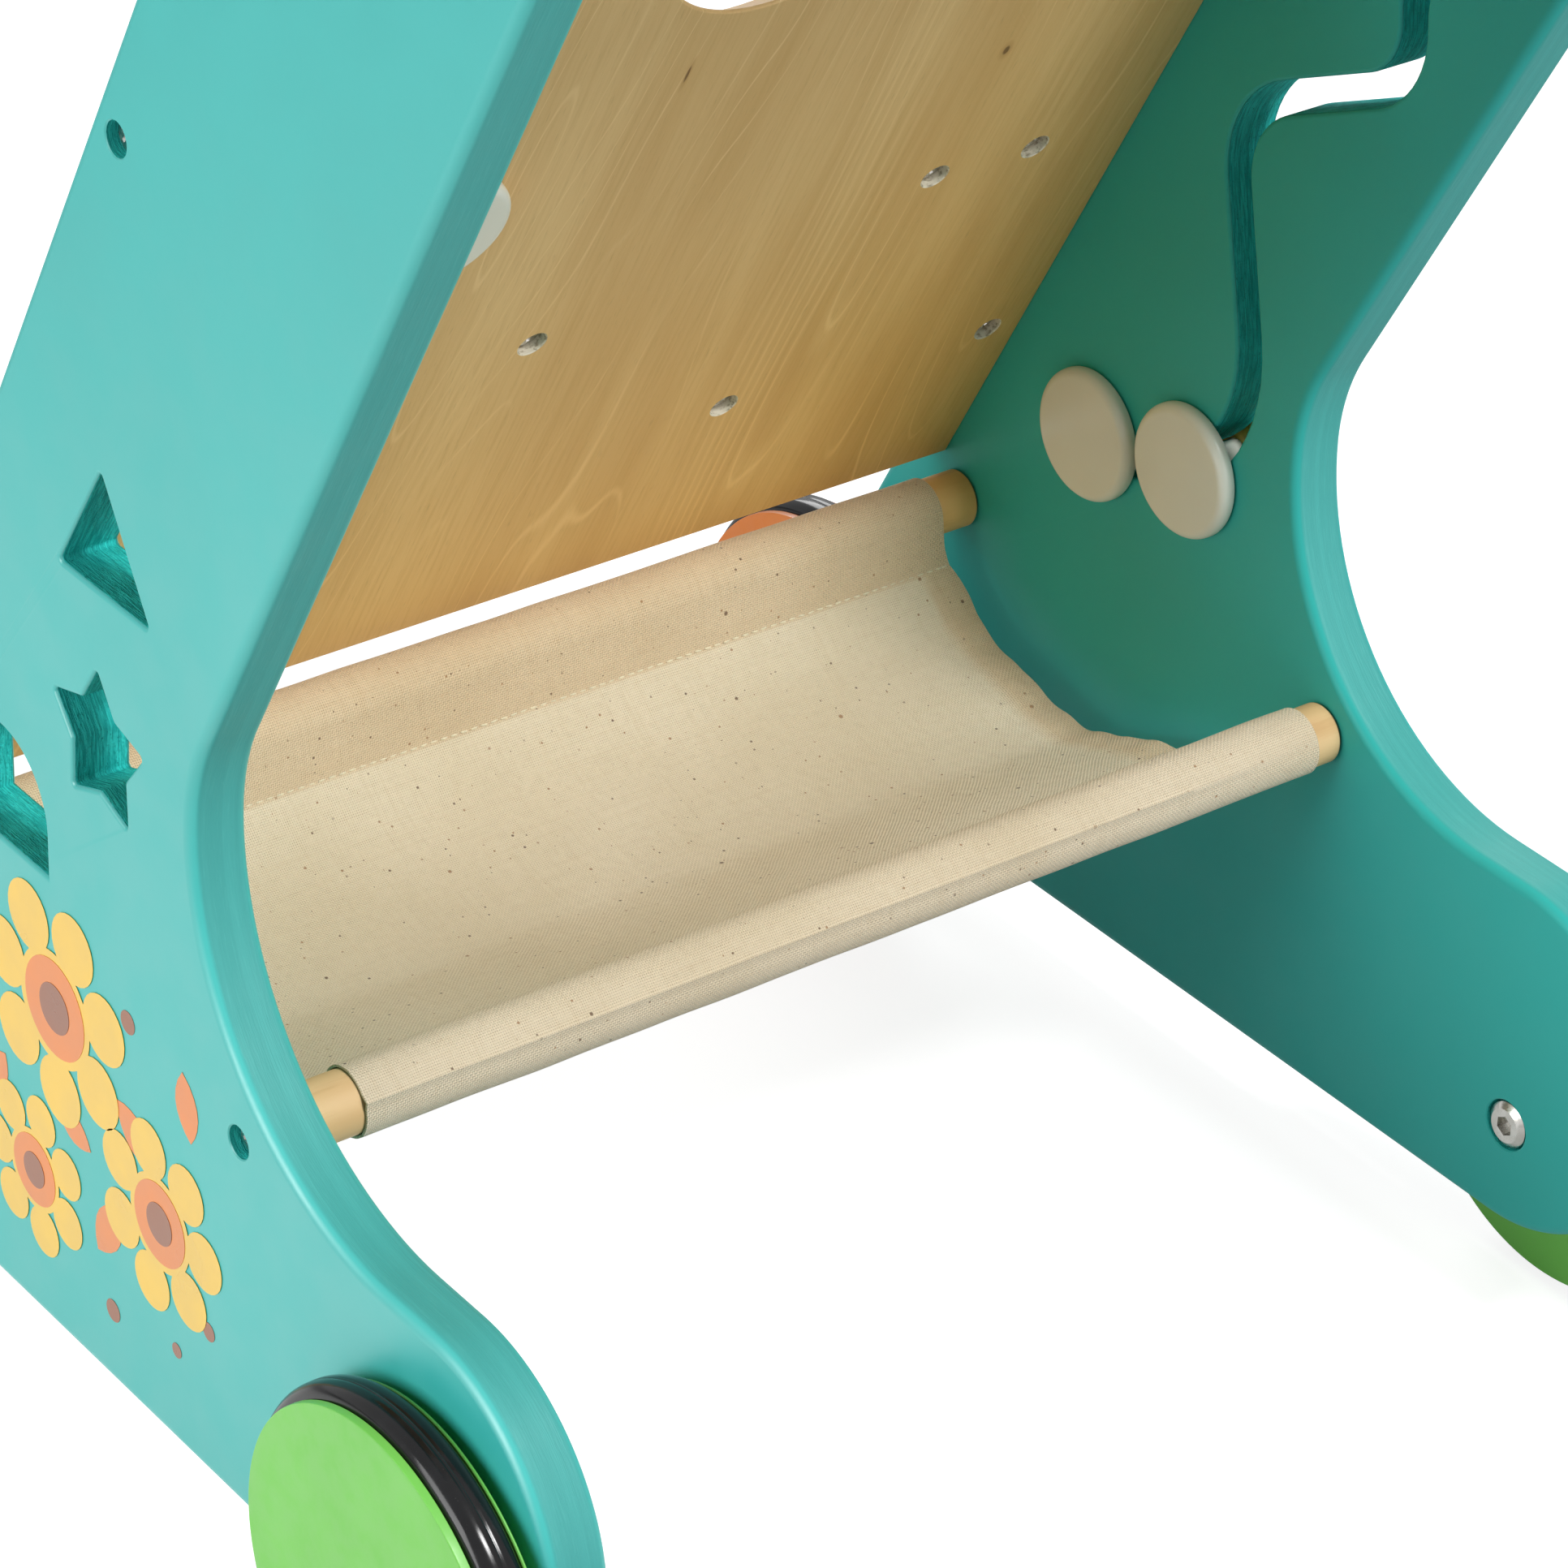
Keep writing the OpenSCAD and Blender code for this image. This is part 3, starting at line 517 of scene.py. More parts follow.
def flared_cutter(name, loop, thick, edge):
    """What a through cut-out with rounded arrises takes away, on XY with its middle at Z 0."""
    profile = [(edge, -thick / 2 - 1.0)]
    for i in range(6):
        a = math.radians(90 * i / 5)
        profile.append((edge * (1 - math.sin(a)), -thick / 2 + edge * (1 - math.cos(a))))
    profile += [(o, -h) for o, h in reversed(profile)]
    return lofted(name, [[(u, v, h) for u, v in grown(loop, out)] for out, h in profile])


def tapered(name, loop, sizes):
    """A closed solid along Z through one loop at several sizes and heights."""
    return lofted(name, [[(u * k, v * k, h) for u, v in loop] for k, h in sizes])


def drill(piece, cutters):
    """Takes the cutters' shapes away from a piece."""
    cutter = join("cutter", cutters)
    modified(piece, "BOOLEAN", object=cutter, operation="DIFFERENCE", solver="EXACT")
    drop(cutter)


def mark_faces(piece, name, test):
    """Marks the faces that pass a test, for the finish to read."""
    mark = piece.data.attributes.new(name, "FLOAT", "FACE")
    for face in piece.data.polygons:
        mark.data[face.index].value = float(test(face))


def closest(p, a, b):
    """The point of a straight line from a to b that lies nearest to p."""
    run = b - a
    return a + run * min(1.0, max(0.0, (p - a).dot(run) / max(1e-9, run.dot(run))))


def bore(d, h, lip):
    """A blind hole's cutter along Z, its mouth at Z 0, a little wider at the lip."""
    r = d / 2
    return turned("bore", [(0, -h), (r, -h), (r, -lip), (r + lip, 0), (r + lip, 1), (0, 1)], 40)


# Finishes


class Nodes:
    """Builds a node tree, from its inputs on."""

    def __init__(self, tree):
        self.tree = tree

    def node(self, kind, inputs=(), **settings):
        made = tuned(self.tree.nodes.new("ShaderNode" + kind), **settings)
        for socket, value in dict(inputs).items():
            self.feed(made.inputs[socket], value)
        return made

    def feed(self, socket, value):
        if isinstance(value, bpy.types.NodeSocket):
            self.tree.links.new(value, socket)
        elif hasattr(value, "__len__") and len(value) == 3 and socket.type == "RGBA":
            socket.default_value = (*value, 1)
        else:
            socket.default_value = value

    def stretched(self, vector, scale, turn=(0, 0, 0)):
        return self.node("Mapping", {"Vector": vector, "Scale": scale, "Rotation": turn}).outputs[0]

    def coords(self, scale=(1, 1, 1), turn=(0, 0, 0)):
        return self.stretched(self.node("TexCoord").outputs["Object"], scale, turn)

    def noise(self, vector, scale, detail=3.0, rough=0.5):
        inputs = {"Vector": vector, "Scale": scale, "Detail": detail, "Roughness": rough}
        return self.node("TexNoise", inputs).outputs["Fac"]

    def maths(self, what, a, b=0.0, clamp=False):
        return self.node("Math", {0: a, 1: b}, operation=what, use_clamp=clamp).outputs[0]

    def times(self, a, b):
        return self.maths("MULTIPLY", a, b)

    def plus(self, a, b, clamp=False):
        return self.maths("ADD", a, b, clamp)

    def span(self, value, low, high, to_low=0.0, to_high=1.0):
        return self.node("MapRange", {"Value": value, "From Min": low, "From Max": high, "To Min": to_low,
                                      "To Max": to_high}, interpolation_type="SMOOTHSTEP").outputs[0]

    def mix(self, share, a, b, how="MIX"):
        return self.node("MixRGB", {0: share, 1: a, 2: b}, blend_type=how).outputs[0]

    def parts(self, vector):
        return self.node("SeparateXYZ", {"Vector": vector}).outputs

    def bump(self, height, distance, strength=1.0, after=None):
        inputs = {"Height": height, "Distance": distance, "Strength": strength}
        if after is not None:
            inputs["Normal"] = after
        return self.node("Bump", inputs).outputs[0]


class Finish(Nodes):
    """A material and the nodes that paint it."""

    def __init__(self, name, **shader):
        self.material = bpy.data.materials.new(name)
        self.material.use_nodes = True
        super().__init__(self.material.node_tree)
        self.shader = self.tree.nodes["Principled BSDF"]
        for socket, value in shader.items():
            self.paint(socket.replace("_", " "), value)

    def paint(self, socket, value):
        self.feed(self.shader.inputs[socket], value)


def shade(rgb, *by):
    """A colour times one factor, or times one for each of its parts."""
    return tuple(min(1.0, c * k) for c, k in zip(rgb, by * 3))


def kept(slot):
    """Makes a finish for a slot once and hands out the same material after that."""

    def wrap(make):
        made = []

        def get():
            if not made:
                made.append(make(bpy.context.scene).material)
            return made[0]

        get.slot = slot
        return get

    return wrap


@kept("teal_paint")
def teal_paint(scene):
    """Satin paint on plywood, smooth on the faces; the layers show on the edges and most in the sawn cut-outs."""
    tint = tuple(scene.walker_wood.paint)
    f = Finish("teal paint")
    here = f.coords()
    nx = f.maths("ABSOLUTE", f.parts(f.node("TexCoord").outputs["Normal"])[0])
    edge = f.span(nx, 0.55, 0.2)
    sawn = f.times(edge, f.node("Attribute", attribute_name="sawn").outputs["Fac"])
    layer = f.noise(f.coords(scale=(1, 0.006, 0.006)), 560.0, 2.0, 0.5)
    streak = f.noise(f.coords(scale=(1, 0.06, 0.06)), 2300.0, 2.0, 0.6)
    pit = f.noise(f.coords(scale=(1, 0.35, 0.35)), 2300.0, 2.0, 0.7)
    cloud = f.noise(here, 9.0, 2.0)
    tone = f.mix(f.span(cloud, 0.3, 0.7), shade(tint, 0.97), shade(tint, 1.03))
    layered = f.mix(f.span(layer, 0.36, 0.64), shade(tint, 1.6, 0.79, 0.8), shade(tint, 1.8, 0.86, 0.87))
    layered = f.mix(f.times(f.span(streak, 0.54, 0.74), 0.3), layered, shade(tint, 2.8, 1.06, 1.06))
    layered = f.mix(f.times(f.span(pit, 0.68, 0.8), 0.25), layered, shade(tint, 0.3, 0.5, 0.5))
    rough = f.mix(f.span(streak, 0.34, 0.66), shade(tint, 0.42, 0.9, 0.93), shade(tint, 1.2, 1.5, 1.5))
    rough = f.mix(f.span(pit, 0.6, 0.74), rough, shade(tint, 0.22, 0.62, 0.65))
    tone = f.mix(f.times(edge, 0.85), tone, layered)
    f.paint("Base Color", f.mix(sawn, tone, rough))
    shine = f.span(f.parts(here)[0], -0.1, 0.1, 1.0, 0.2)
    f.paint("Specular IOR Level", f.node("Mix", {0: edge, 2: shine, 3: f.span(sawn, 0.0, 1.0, 0.4, 0.1)}).outputs[0])
    gloss = f.span(f.noise(here, 60.0, 4.0), 0.3, 0.7, 0.38, 0.46)
    f.paint("Roughness", f.plus(gloss, f.times(f.plus(edge, sawn), 0.14)))
    skin = f.bump(f.noise(here, 420.0, 2.0), 0.00006, 0.35)
    grain = f.bump(f.times(streak, edge), 0.0003, 0.4, skin)
    f.paint("Normal", f.bump(f.times(f.plus(streak, pit), sawn), 0.0008, 0.8, grain))
    return f


@kept("board_ply")
def board_ply(scene):
    """Lacquered plywood with its grain up the slope, drawn figure lines, two small knots and painted shade towards
    its foot and its right side.
    """
    wood = scene.walker_wood
    pale, dark = tuple(wood.ply), tuple(wood.ply_dark)
    f = Finish("lacquered ply", Roughness=0.45, Specular_IOR_Level=0.4)
    along = f.coords(turn=(-LEAN, 0, 0))

    def drawn(stretch):
        return f.stretched(along, (1, 1, stretch))

    x, _, up = f.parts(along)
    broad = f.noise(drawn(0.1), 30.0, 3.0, 0.55)
    fibre = f.noise(drawn(0.03), 900.0, 3.0, 0.6)
    pore = f.noise(drawn(0.06), 2600.0, 1.0, 0.5)
    tone = f.mix(f.span(broad, 0.32, 0.7), pale, dark)
    tone = f.mix(f.times(f.span(fibre, 0.42, 0.72), 0.3), tone, shade(dark, 0.88))
    field = f.plus(f.times(x, 92.0), f.times(f.noise(drawn(0.13), 16.0, 1.6, 0.45), 27.0))
    spots = []
    for kx, kz, width, tall in ((0.0879, 0.2602, 0.0011, 0.002), (-0.0141, 0.2873, 0.0005, 0.0036)):
        dx = f.maths("DIVIDE", f.maths("SUBTRACT", x, kx), width)
        dz = f.maths("DIVIDE", f.maths("SUBTRACT", up, kz), tall)
        spots.append(f.maths("SQRT", f.plus(f.times(dx, dx), f.times(dz, dz))))
    field = f.plus(field, f.times(f.span(spots[0], 9.0, 0.0), 2.2))
    ripple = f.maths("PINGPONG", field, 0.5)
    faint = f.span(f.noise(drawn(0.2), 34.0, 2.0), 0.36, 0.58)
    line = f.times(f.span(ripple, 0.055, 0.0), faint)
    flame = f.times(f.span(ripple, 0.3, 0.05), f.span(f.noise(drawn(0.15), 21.0, 1.0), 0.55, 0.7))
    light = shade(pale, 1.1, 1.14, 1.24)
    tone = f.mix(f.times(flame, 0.3), tone, light)
    tone = f.mix(f.times(line, 0.7), tone, light)
    tone = f.mix(f.times(f.span(pore, 0.64, 0.76), 0.28), tone, shade(dark, 0.62))
    # Painted shade: the board turns darker and more orange towards its foot and towards the right panel, where shade
    # falls between the parts.
    drift = f.plus(f.span(up, 0.26, 0.09, 0.0, 0.65), f.span(x, 0.0, 0.15, 0.0, 0.5), True)
    tone = f.mix(drift, tone, (1.0, 0.89, 0.62), "MULTIPLY")
    for spot in spots:
        tone = f.mix(f.times(f.span(spot, 2.2, 0.9), 0.45), tone, shade(dark, 0.75, 0.6, 0.45))
        tone = f.mix(f.times(f.span(spot, 1.0, 0.5), 0.8), tone, shade(dark, 0.2, 0.14, 0.1))
    torn = f.span(f.noise(f.coords(scale=(0.5, 1, 1)), 1000.0, 2.0, 0.6), 0.3, 0.55)
    drilled = f.node("Attribute", attribute_name="drilled").outputs["Fac"]
    tone = f.mix(drilled, tone, f.mix(torn, (0.4, 0.33, 0.22), (0.8, 0.73, 0.58)))
    f.paint("Base Color", tone)
    f.paint("Roughness", f.span(fibre, 0.3, 0.7, 0.4, 0.52))
    f.paint("Normal", f.bump(f.plus(fibre, f.times(pore, 0.5)), 0.00012, 0.35))
    return f


@kept("dowel_wood")
def dowel_wood(scene):
    """Sanded pale wood with its grain along the bar, painted warmer light towards the front and painted shade at the
    ends by the panels.
    """
    tint = tuple(scene.walker_wood.dowel)
    f = Finish("sanded dowel", Roughness=0.55, Specular_IOR_Level=0.35)
    grain = f.noise(f.coords(scale=(0.06, 1, 1)), 260.0, 4.0, 0.6)
    broad = f.noise(f.coords(scale=(0.1, 1, 1)), 70.0, 2.0)
    tone = f.mix(f.span(broad, 0.3, 0.7), shade(tint, 1.05), shade(tint, 0.9, 0.84, 0.74))
    tone = f.mix(f.times(f.span(grain, 0.5, 0.72), 0.5), tone, shade(tint, 0.72, 0.6, 0.46))
    x, y, _ = f.parts(f.coords())
    # Painted light: bars towards the front, from Y 0 to 0.08 m, are brighter and warmer than the same wood further
    # back.
    tone = f.mix(f.span(y, 0.0, 0.08), tone, (1.2, 1.04, 0.78), "MULTIPLY")
    # Painted shade: a dark ring on the last millimetre of each bar's ends, in the crevice where it meets the panels.
    end_crevice_shade = f.span(f.maths("ABSOLUTE", x), 0.1488, 0.1496)
    tone = f.mix(f.times(end_crevice_shade, 0.85), tone, shade(tint, 0.12, 0.09, 0.06))
    f.paint("Base Color", tone)
    f.paint("Roughness", f.span(grain, 0.3, 0.7, 0.5, 0.62))
    f.paint("Normal", f.bump(grain, 0.0002, 0.4))
    return f


@kept("cloth")
def woven_cotton(scene):
    """Plain weave of unbleached cotton, with seed specks and painted shade in the gaps between threads and on doubled
    cloth, on a map in metres.
    """
    cloth = scene.walker_cloth
    tint, pitch = tuple(cloth.cotton), cloth.thread
    f = Finish("woven cotton", Roughness=0.92, Specular_IOR_Level=0.15, Sheen_Weight=0.25, Sheen_Roughness=0.6)
    flat = f.node("UVMap", uv_map="weave").outputs[0]
    wander = f.noise(flat, 45.0, 2.0)
    drift = f.node("CombineXYZ", {"X": f.times(wander, 0.0012), "Y": f.times(wander, 0.0009)}).outputs[0]
    sway = f.node("VectorMath", {0: flat, 1: drift}, operation="ADD").outputs[0]
    u, v, _ = f.parts(sway)
    u, v = f.maths("DIVIDE", u, pitch), f.maths("DIVIDE", v, pitch * 1.06)

    def slub(scale):
        return f.span(f.noise(f.stretched(flat, scale), 1600.0, 1.0), 0.45, 0.75)

    def humps(across):
        return f.maths("ABSOLUTE", f.maths("SINE", f.times(across, math.pi)))

    warp, weft = humps(u), humps(v)
    over = f.maths("FLOORED_MODULO", f.plus(f.maths("FLOOR", u), f.maths("FLOOR", v)), 2.0)
    threads = f.node("Mix", {0: over, 2: warp, 3: weft}).outputs[0]
    gap = f.times(f.maths("SUBTRACT", 1.0, warp), f.maths("SUBTRACT", 1.0, weft))
    # Painted shade: the open gaps between the threads are darkened.
    gap_shade = f.span(f.plus(gap, f.times(f.noise(flat, 380.0, 1.0), 0.6)), 0.5, 1.02)
    blotch = f.noise(flat, 14.0, 3.0)
    tone = f.mix(f.span(blotch, 0.3, 0.7), shade(tint, 0.95, 0.93, 0.88), shade(tint, 1.04))
    slubs = f.plus(slub((1, 0.02, 1)), slub((0.02, 1, 1)))
    tone = f.mix(f.times(slubs, 0.22), tone, shade(tint, 0.86, 0.8, 0.7))
    tone = f.mix(f.times(gap_shade, 0.8), tone, shade(tint, 0.46, 0.35, 0.22))
    # Painted shade: where the cloth lies doubled, at the sleeves and the hems, it turns darker and warmer, standing
    # for less light shining through it.
    layers = f.node("Attribute", attribute_name="layers").outputs["Fac"]
    tone = f.mix(layers, tone, (0.93, 0.84, 0.745), "MULTIPLY")
    for scale, rare, small, large in ((430.0, 0.4, 0.08, 0.21), (210.0, 0.66, 0.06, 0.17)):
        cells = f.node("TexVoronoi", {"Vector": flat, "Scale": scale})
        chance, size, hue = f.parts(cells.outputs["Color"])
        reach = f.span(size, 0.3, 1.0, small, large)
        speck = f.span(cells.outputs["Distance"], reach, f.times(reach, 0.5))
        speck = f.times(speck, f.span(chance, rare, rare + 0.2, 0.0, 0.85))
        tone = f.mix(speck, tone, f.mix(hue, (0.14, 0.07, 0.03), (0.42, 0.22, 0.09)))
    f.paint("Base Color", tone)
    f.paint("Normal", f.bump(threads, 0.00022, 0.85))
    return f


@kept("cloth")
def sewing_thread(scene):
    """Twisted sewing thread."""
    tint = tuple(scene.walker_cloth.seam)
    f = Finish("sewing thread", Roughness=0.8, Sheen_Weight=0.3)
    twist = f.noise(f.coords(), 2600.0, 2.0)
    f.paint("Base Color", f.mix(f.span(twist, 0.3, 0.7), shade(tint, 0.85), shade(tint, 1.05)))
    f.paint("Normal", f.bump(twist, 0.0001, 0.5))
    return f


@kept("steel")
def zinc(scene):
    """Bright zinc on steel, with fine turning marks and small stains."""
    f = Finish("bright zinc", Metallic=1.0, Roughness=0.3)
    here = f.coords()
    stain = f.noise(here, 240.0, 4.0, 0.6)
    marks = f.noise(f.coords(scale=(1, 0.2, 0.2)), 2600.0, 1.0)
    f.paint("Base Color", f.mix(f.span(stain, 0.35, 0.7), (0.56, 0.545, 0.51), (0.67, 0.66, 0.63)))
    f.paint("Roughness", f.span(stain, 0.3, 0.7, 0.18, 0.34))
    f.paint("Normal", f.bump(marks, 0.00004, 0.4))
    return f


def moulded(name, tint, gloss=0.32, scuff=0.15):
    """Moulded plastic with a slight grain and a few scuffs."""
    f = Finish(name, Roughness=gloss, Specular_IOR_Level=0.4)
    here = f.coords()
    cloud = f.noise(here, 30.0, 2.0)
    f.paint("Base Color", f.mix(f.span(cloud, 0.3, 0.7), shade(tint, 0.96), shade(tint, 1.03)))
    scuffs = f.noise(here, 160.0, 4.0, 0.6)
    f.paint("Roughness", f.span(scuffs, 0.35, 0.7, gloss - scuff / 3, gloss + scuff * 2 / 3))
    f.paint("Normal", f.bump(f.noise(here, 900.0, 2.0), 0.00003, 0.3))
    return f


def painted(name, tint):
    """Glossy toy paint over turned wood."""
    f = Finish(name, Roughness=0.3, Coat_Weight=0.25, Coat_Roughness=0.15)
    here = f.coords()
    pool = f.noise(here, 55.0, 3.0)
    grain = f.noise(f.coords(scale=(0.1, 1, 1)), 500.0, 3.0)
    f.paint("Base Color", f.mix(f.span(pool, 0.3, 0.7), shade(tint, 0.94), shade(tint, 1.04)))
    f.paint("Roughness", f.span(pool, 0.3, 0.7, 0.26, 0.38))
    f.paint("Normal", f.bump(grain, 0.00006, 0.3))
    return f


def tinted(slot, make, name, group, key, *more):
    """A plain finish whose tint is one of the walker's settings."""
    return kept(slot)(lambda scene: make(name, tuple(getattr(getattr(scene, group), key)), *more))


wheel_green = tinted("wheel_green", moulded, "green plastic", "walker_wheels", "rear", 0.36)
wheel_orange = tinted("wheel_orange", moulded, "orange plastic", "walker_wheels", "front", 0.36)
cream_plastic = tinted("cream_plastic", moulded, "cream plastic", "walker_toys", "cream", 0.24, 0.03)
orange_paint = tinted("orange_paint", painted, "orange paint", "walker_toys", "orange")
green_paint = tinted("green_paint", painted, "green paint", "walker_toys", "green")
yellow_paint = tinted("yellow_paint", painted, "yellow paint", "walker_toys", "yellow")
print_brown = tinted("orange_paint", painted, "brown print", "walker_toys", "brown")


@kept("tyre_rubber")
def tyre_rubber(scene):
    """Shiny black rubber with a little dust."""
    tint = tuple(scene.walker_wheels.tyre)
    f = Finish("tyre rubber", Roughness=0.22, Specular_IOR_Level=0.28)
    here = f.coords()
    dust = f.span(f.noise(here, 1400.0, 3.0, 0.7), 0.66, 0.8)
    film = f.noise(here, 90.0, 4.0, 0.6)
    tone = f.mix(f.span(film, 0.4, 0.8), tint, shade(tint, 1.8))
    f.paint("Base Color", f.mix(f.times(dust, 0.35), tone, (0.2, 0.2, 0.2)))
    f.paint("Roughness", f.span(film, 0.3, 0.75, 0.12, 0.24))
    f.paint("Normal", f.bump(film, 0.0001, 0.3))
    return f


# Pieces


class WALKER_OT_side_panels(Operator):
    """Saws and drills the two side panels"""

    bl_idname = "walker.side_panels"
    bl_label = "Side panels"

    def execute(self, context):
        wood = context.scene.walker_wood
        edge, cut_edge = wood.arris / MM, wood.cut_arris / MM
        outline = panel_outline()
        for side, name in ((-1, "left_side_panel"), (1, "right_side_panel")):
            piece = cut_out(name + "_painted", [outline], PANEL_T, edge)
            place(piece, on_panel(side * PANEL_X))
            cutters = [place(bore(*SCREW_SINK), across(side * OUTER_X, c, side)) for c in PANEL_SCREWS]
            for c, x, way in ((REAR_AXLE, INNER_X, -1), (FRONT_AXLE, OUTER_X, 1)):
                cutters.append(place(bore(*BOLT_SINK), across(side * x, c, side * way)))
            holes = (triangle_outline(), star_outline(), arch_outline()) if side < 0 else (slot_outline(SLOT_W),)
            for loop in holes:
                cutters.append(place(flared_cutter("hole", loop, PANEL_T, cut_edge), on_panel(side * PANEL_X)))
            drill(piece, cutters)
            mark_faces(piece, "sawn", self.cut_walls(holes))
            dress(smooth(piece), teal_paint, nodes=[name])
        return {"FINISHED"}

    def cut_walls(self, holes):
        """A test for the sawn and drilled walls, where the layers of the wood show most."""
        sides = [(Vector(loop[i - 1]), Vector(p)) for loop in holes for i, p in enumerate(loop)]
        bores = [(Vector(c), 4.8) for c in PANEL_SCREWS] + [(Vector(c), 7.4) for c in (REAR_AXLE, FRONT_AXLE)]

        def test(face):
            if abs(face.normal.x) >= 0.8:
                return False
            at = Vector((face.center.y, face.center.z)) / MM
            sawn = min((at - closest(at, *side)).length for side in sides) < 1.6
            return sawn or any((at - c).length < reach for c, reach in bores)

        return test


class WALKER_OT_activity_board(Operator):
    """Cuts the activity board with its round window and screw holes"""

    bl_idname = "walker.activity_board"
    bl_label = "Activity board"

    def execute(self, context):
        edge = context.scene.walker_wood.board_arris / MM
        sheet = [(-INNER_X, 0), (INNER_X, 0), (INNER_X, 338), (-INNER_X, 338)]
        piece = cut_out("activity_board_ply", [sheet, ring(WINDOW_D, 96, WINDOW)], BOARD_T, edge, 3)
        place(piece, on_board(n=BOARD_T / 2))
        cutters = [place(bore(7.6, 4.6, 0.25), on_board(*c)) for c in BOARD_SCREWS]
        dish = turned("dish", [(0, -9.6), (48.6, -9.6), (37.0, -0.9), (36.9, -0.6), (0, -0.6)], 96)
        cutters.append(place(dish, on_board(*WINDOW)))
        drill(piece, cutters)
        holes = [at_board(*c) for c in BOARD_SCREWS]

        def drilled(face):
            wall = abs(face.normal.dot(BACKWARDS)) < 0.8
            return wall and any((face.center / MM - hole).length < 7 for hole in holes)

        mark_faces(piece, "drilled", drilled)
        dress(smooth(piece), board_ply, nodes=["activity_board"])
        return {"FINISHED"}


class WALKER_OT_round_bars(Operator):
    """Turns the two basket dowels and the handle bar"""

    bl_idname = "walker.round_bars"
    bl_label = "Dowels and handle"

    def execute(self, context):
        chamfer = context.scene.walker_wood.bar_arris / MM
        long = 2 * INNER_X
        for name, c, d in (("front_dowel", FRONT_DOWEL, BAR_D), ("rear_dowel", REAR_DOWEL, BAR_D),
                           ("handle_bar", HANDLE, HANDLE_D)):
            r = d / 2
            profile = [(0, 0), (r - chamfer, 0), (r, chamfer)]
            profile += [(r, long * i / 24) for i in range(1, 24)]
            profile += [(r, long - chamfer), (r - chamfer, long), (0, long)]
            piece = place(turned(name + "_wood", profile, 64), across(-INNER_X, c, 1))
            dress(smooth(piece), dowel_wood, nodes=[name])
        return {"FINISHED"}


def wheel_parts(line):
    """Core, tyre and cover of a wheel along Z from its inner face, each turned once."""
    flange = [(4.06, 0), (49.7, 0), (50.1, 0.12), (50.3, 0.35), (50.3, 0.65), (50.1, 0.88), (49.7, 1.0)]
    drum = [(43.0, 1.0), (43.0, 11.6), (8.5, 11.6), (8.5, 4.2), (4.06, 4.2)]
    core = turned("core", flange + drum, 120, closed=True)
    tread = [(43.0, 1.0)]
    half = 5.3
    for i in range(37):
        z = -half + 2 * half * i / 36
        r = 48.6 + 3.9 * (1 - abs(z / half) ** 3) ** 0.55
        r -= line * math.exp(-((abs(z) - 0.42) / 0.15) ** 2)
        tread.append((r, 6.3 + z))
    tread.append((43.0, 11.6))
    tyre = turned("tyre", tread, 144, closed=True)
    face = [(0, 11.6), (49.1, 11.6), (49.5, 11.9), (49.5, 13.55), (49.4, 13.85), (49.1, 14.0), (46.0, 14.0),
            (45.6, 13.97), (20.0, 13.94), (0, 13.94)]
    cover = turned("cover", face, 120)
    return core, tyre, cover


class WALKER_OT_wheels(Operator):
    """Turns one wheel and copies it to the four axles"""

    bl_idname = "walker.wheels"
    bl_label = "Wheels"

    def execute(self, context):
        made = wheel_parts(context.scene.walker_wheels.mould_line / MM)
        for part in made:
            smooth(part, 28)
        for row, wheel, where in at_axles(*WHEEL_X, 1):
            plastic = wheel_green if row == "rear" else wheel_orange
            for part, kind in zip(made, ("core", "tyre", "cover")):
                twin = copy_of(part, f"{wheel}_{kind}_made", where)
                dress(twin, tyre_rubber if kind == "tyre" else plastic, f"{wheel}_wheel", [f"{wheel}_{kind}"])
        drop(*made)
        return {"FINISHED"}


def screw_pattern():
    """A countersunk screw with a cross recess, its head up at Z 0, its shank cut short inside the wood."""
    head = turned("screw", [(0, 0), (2.8, 0), (3.3, -0.16), (3.5, -0.45), (2.9, -2.0), (2.0, -2.4), (2.0, -12),
                            (0, -13)], 40)
    bar = [(-2.0, -0.45), (2.0, -0.45), (2.0, 0.45), (-2.0, 0.45)]
    for turn in (20, 110):
        recess = tapered("recess", bar, ((1.05, 0.5), (1.0, 0.0), (0.62, -1.3)))
        drill(head, [place(recess, Matrix.Rotation(math.radians(turn), 4, "Z"))])
    return smooth(head, 30)


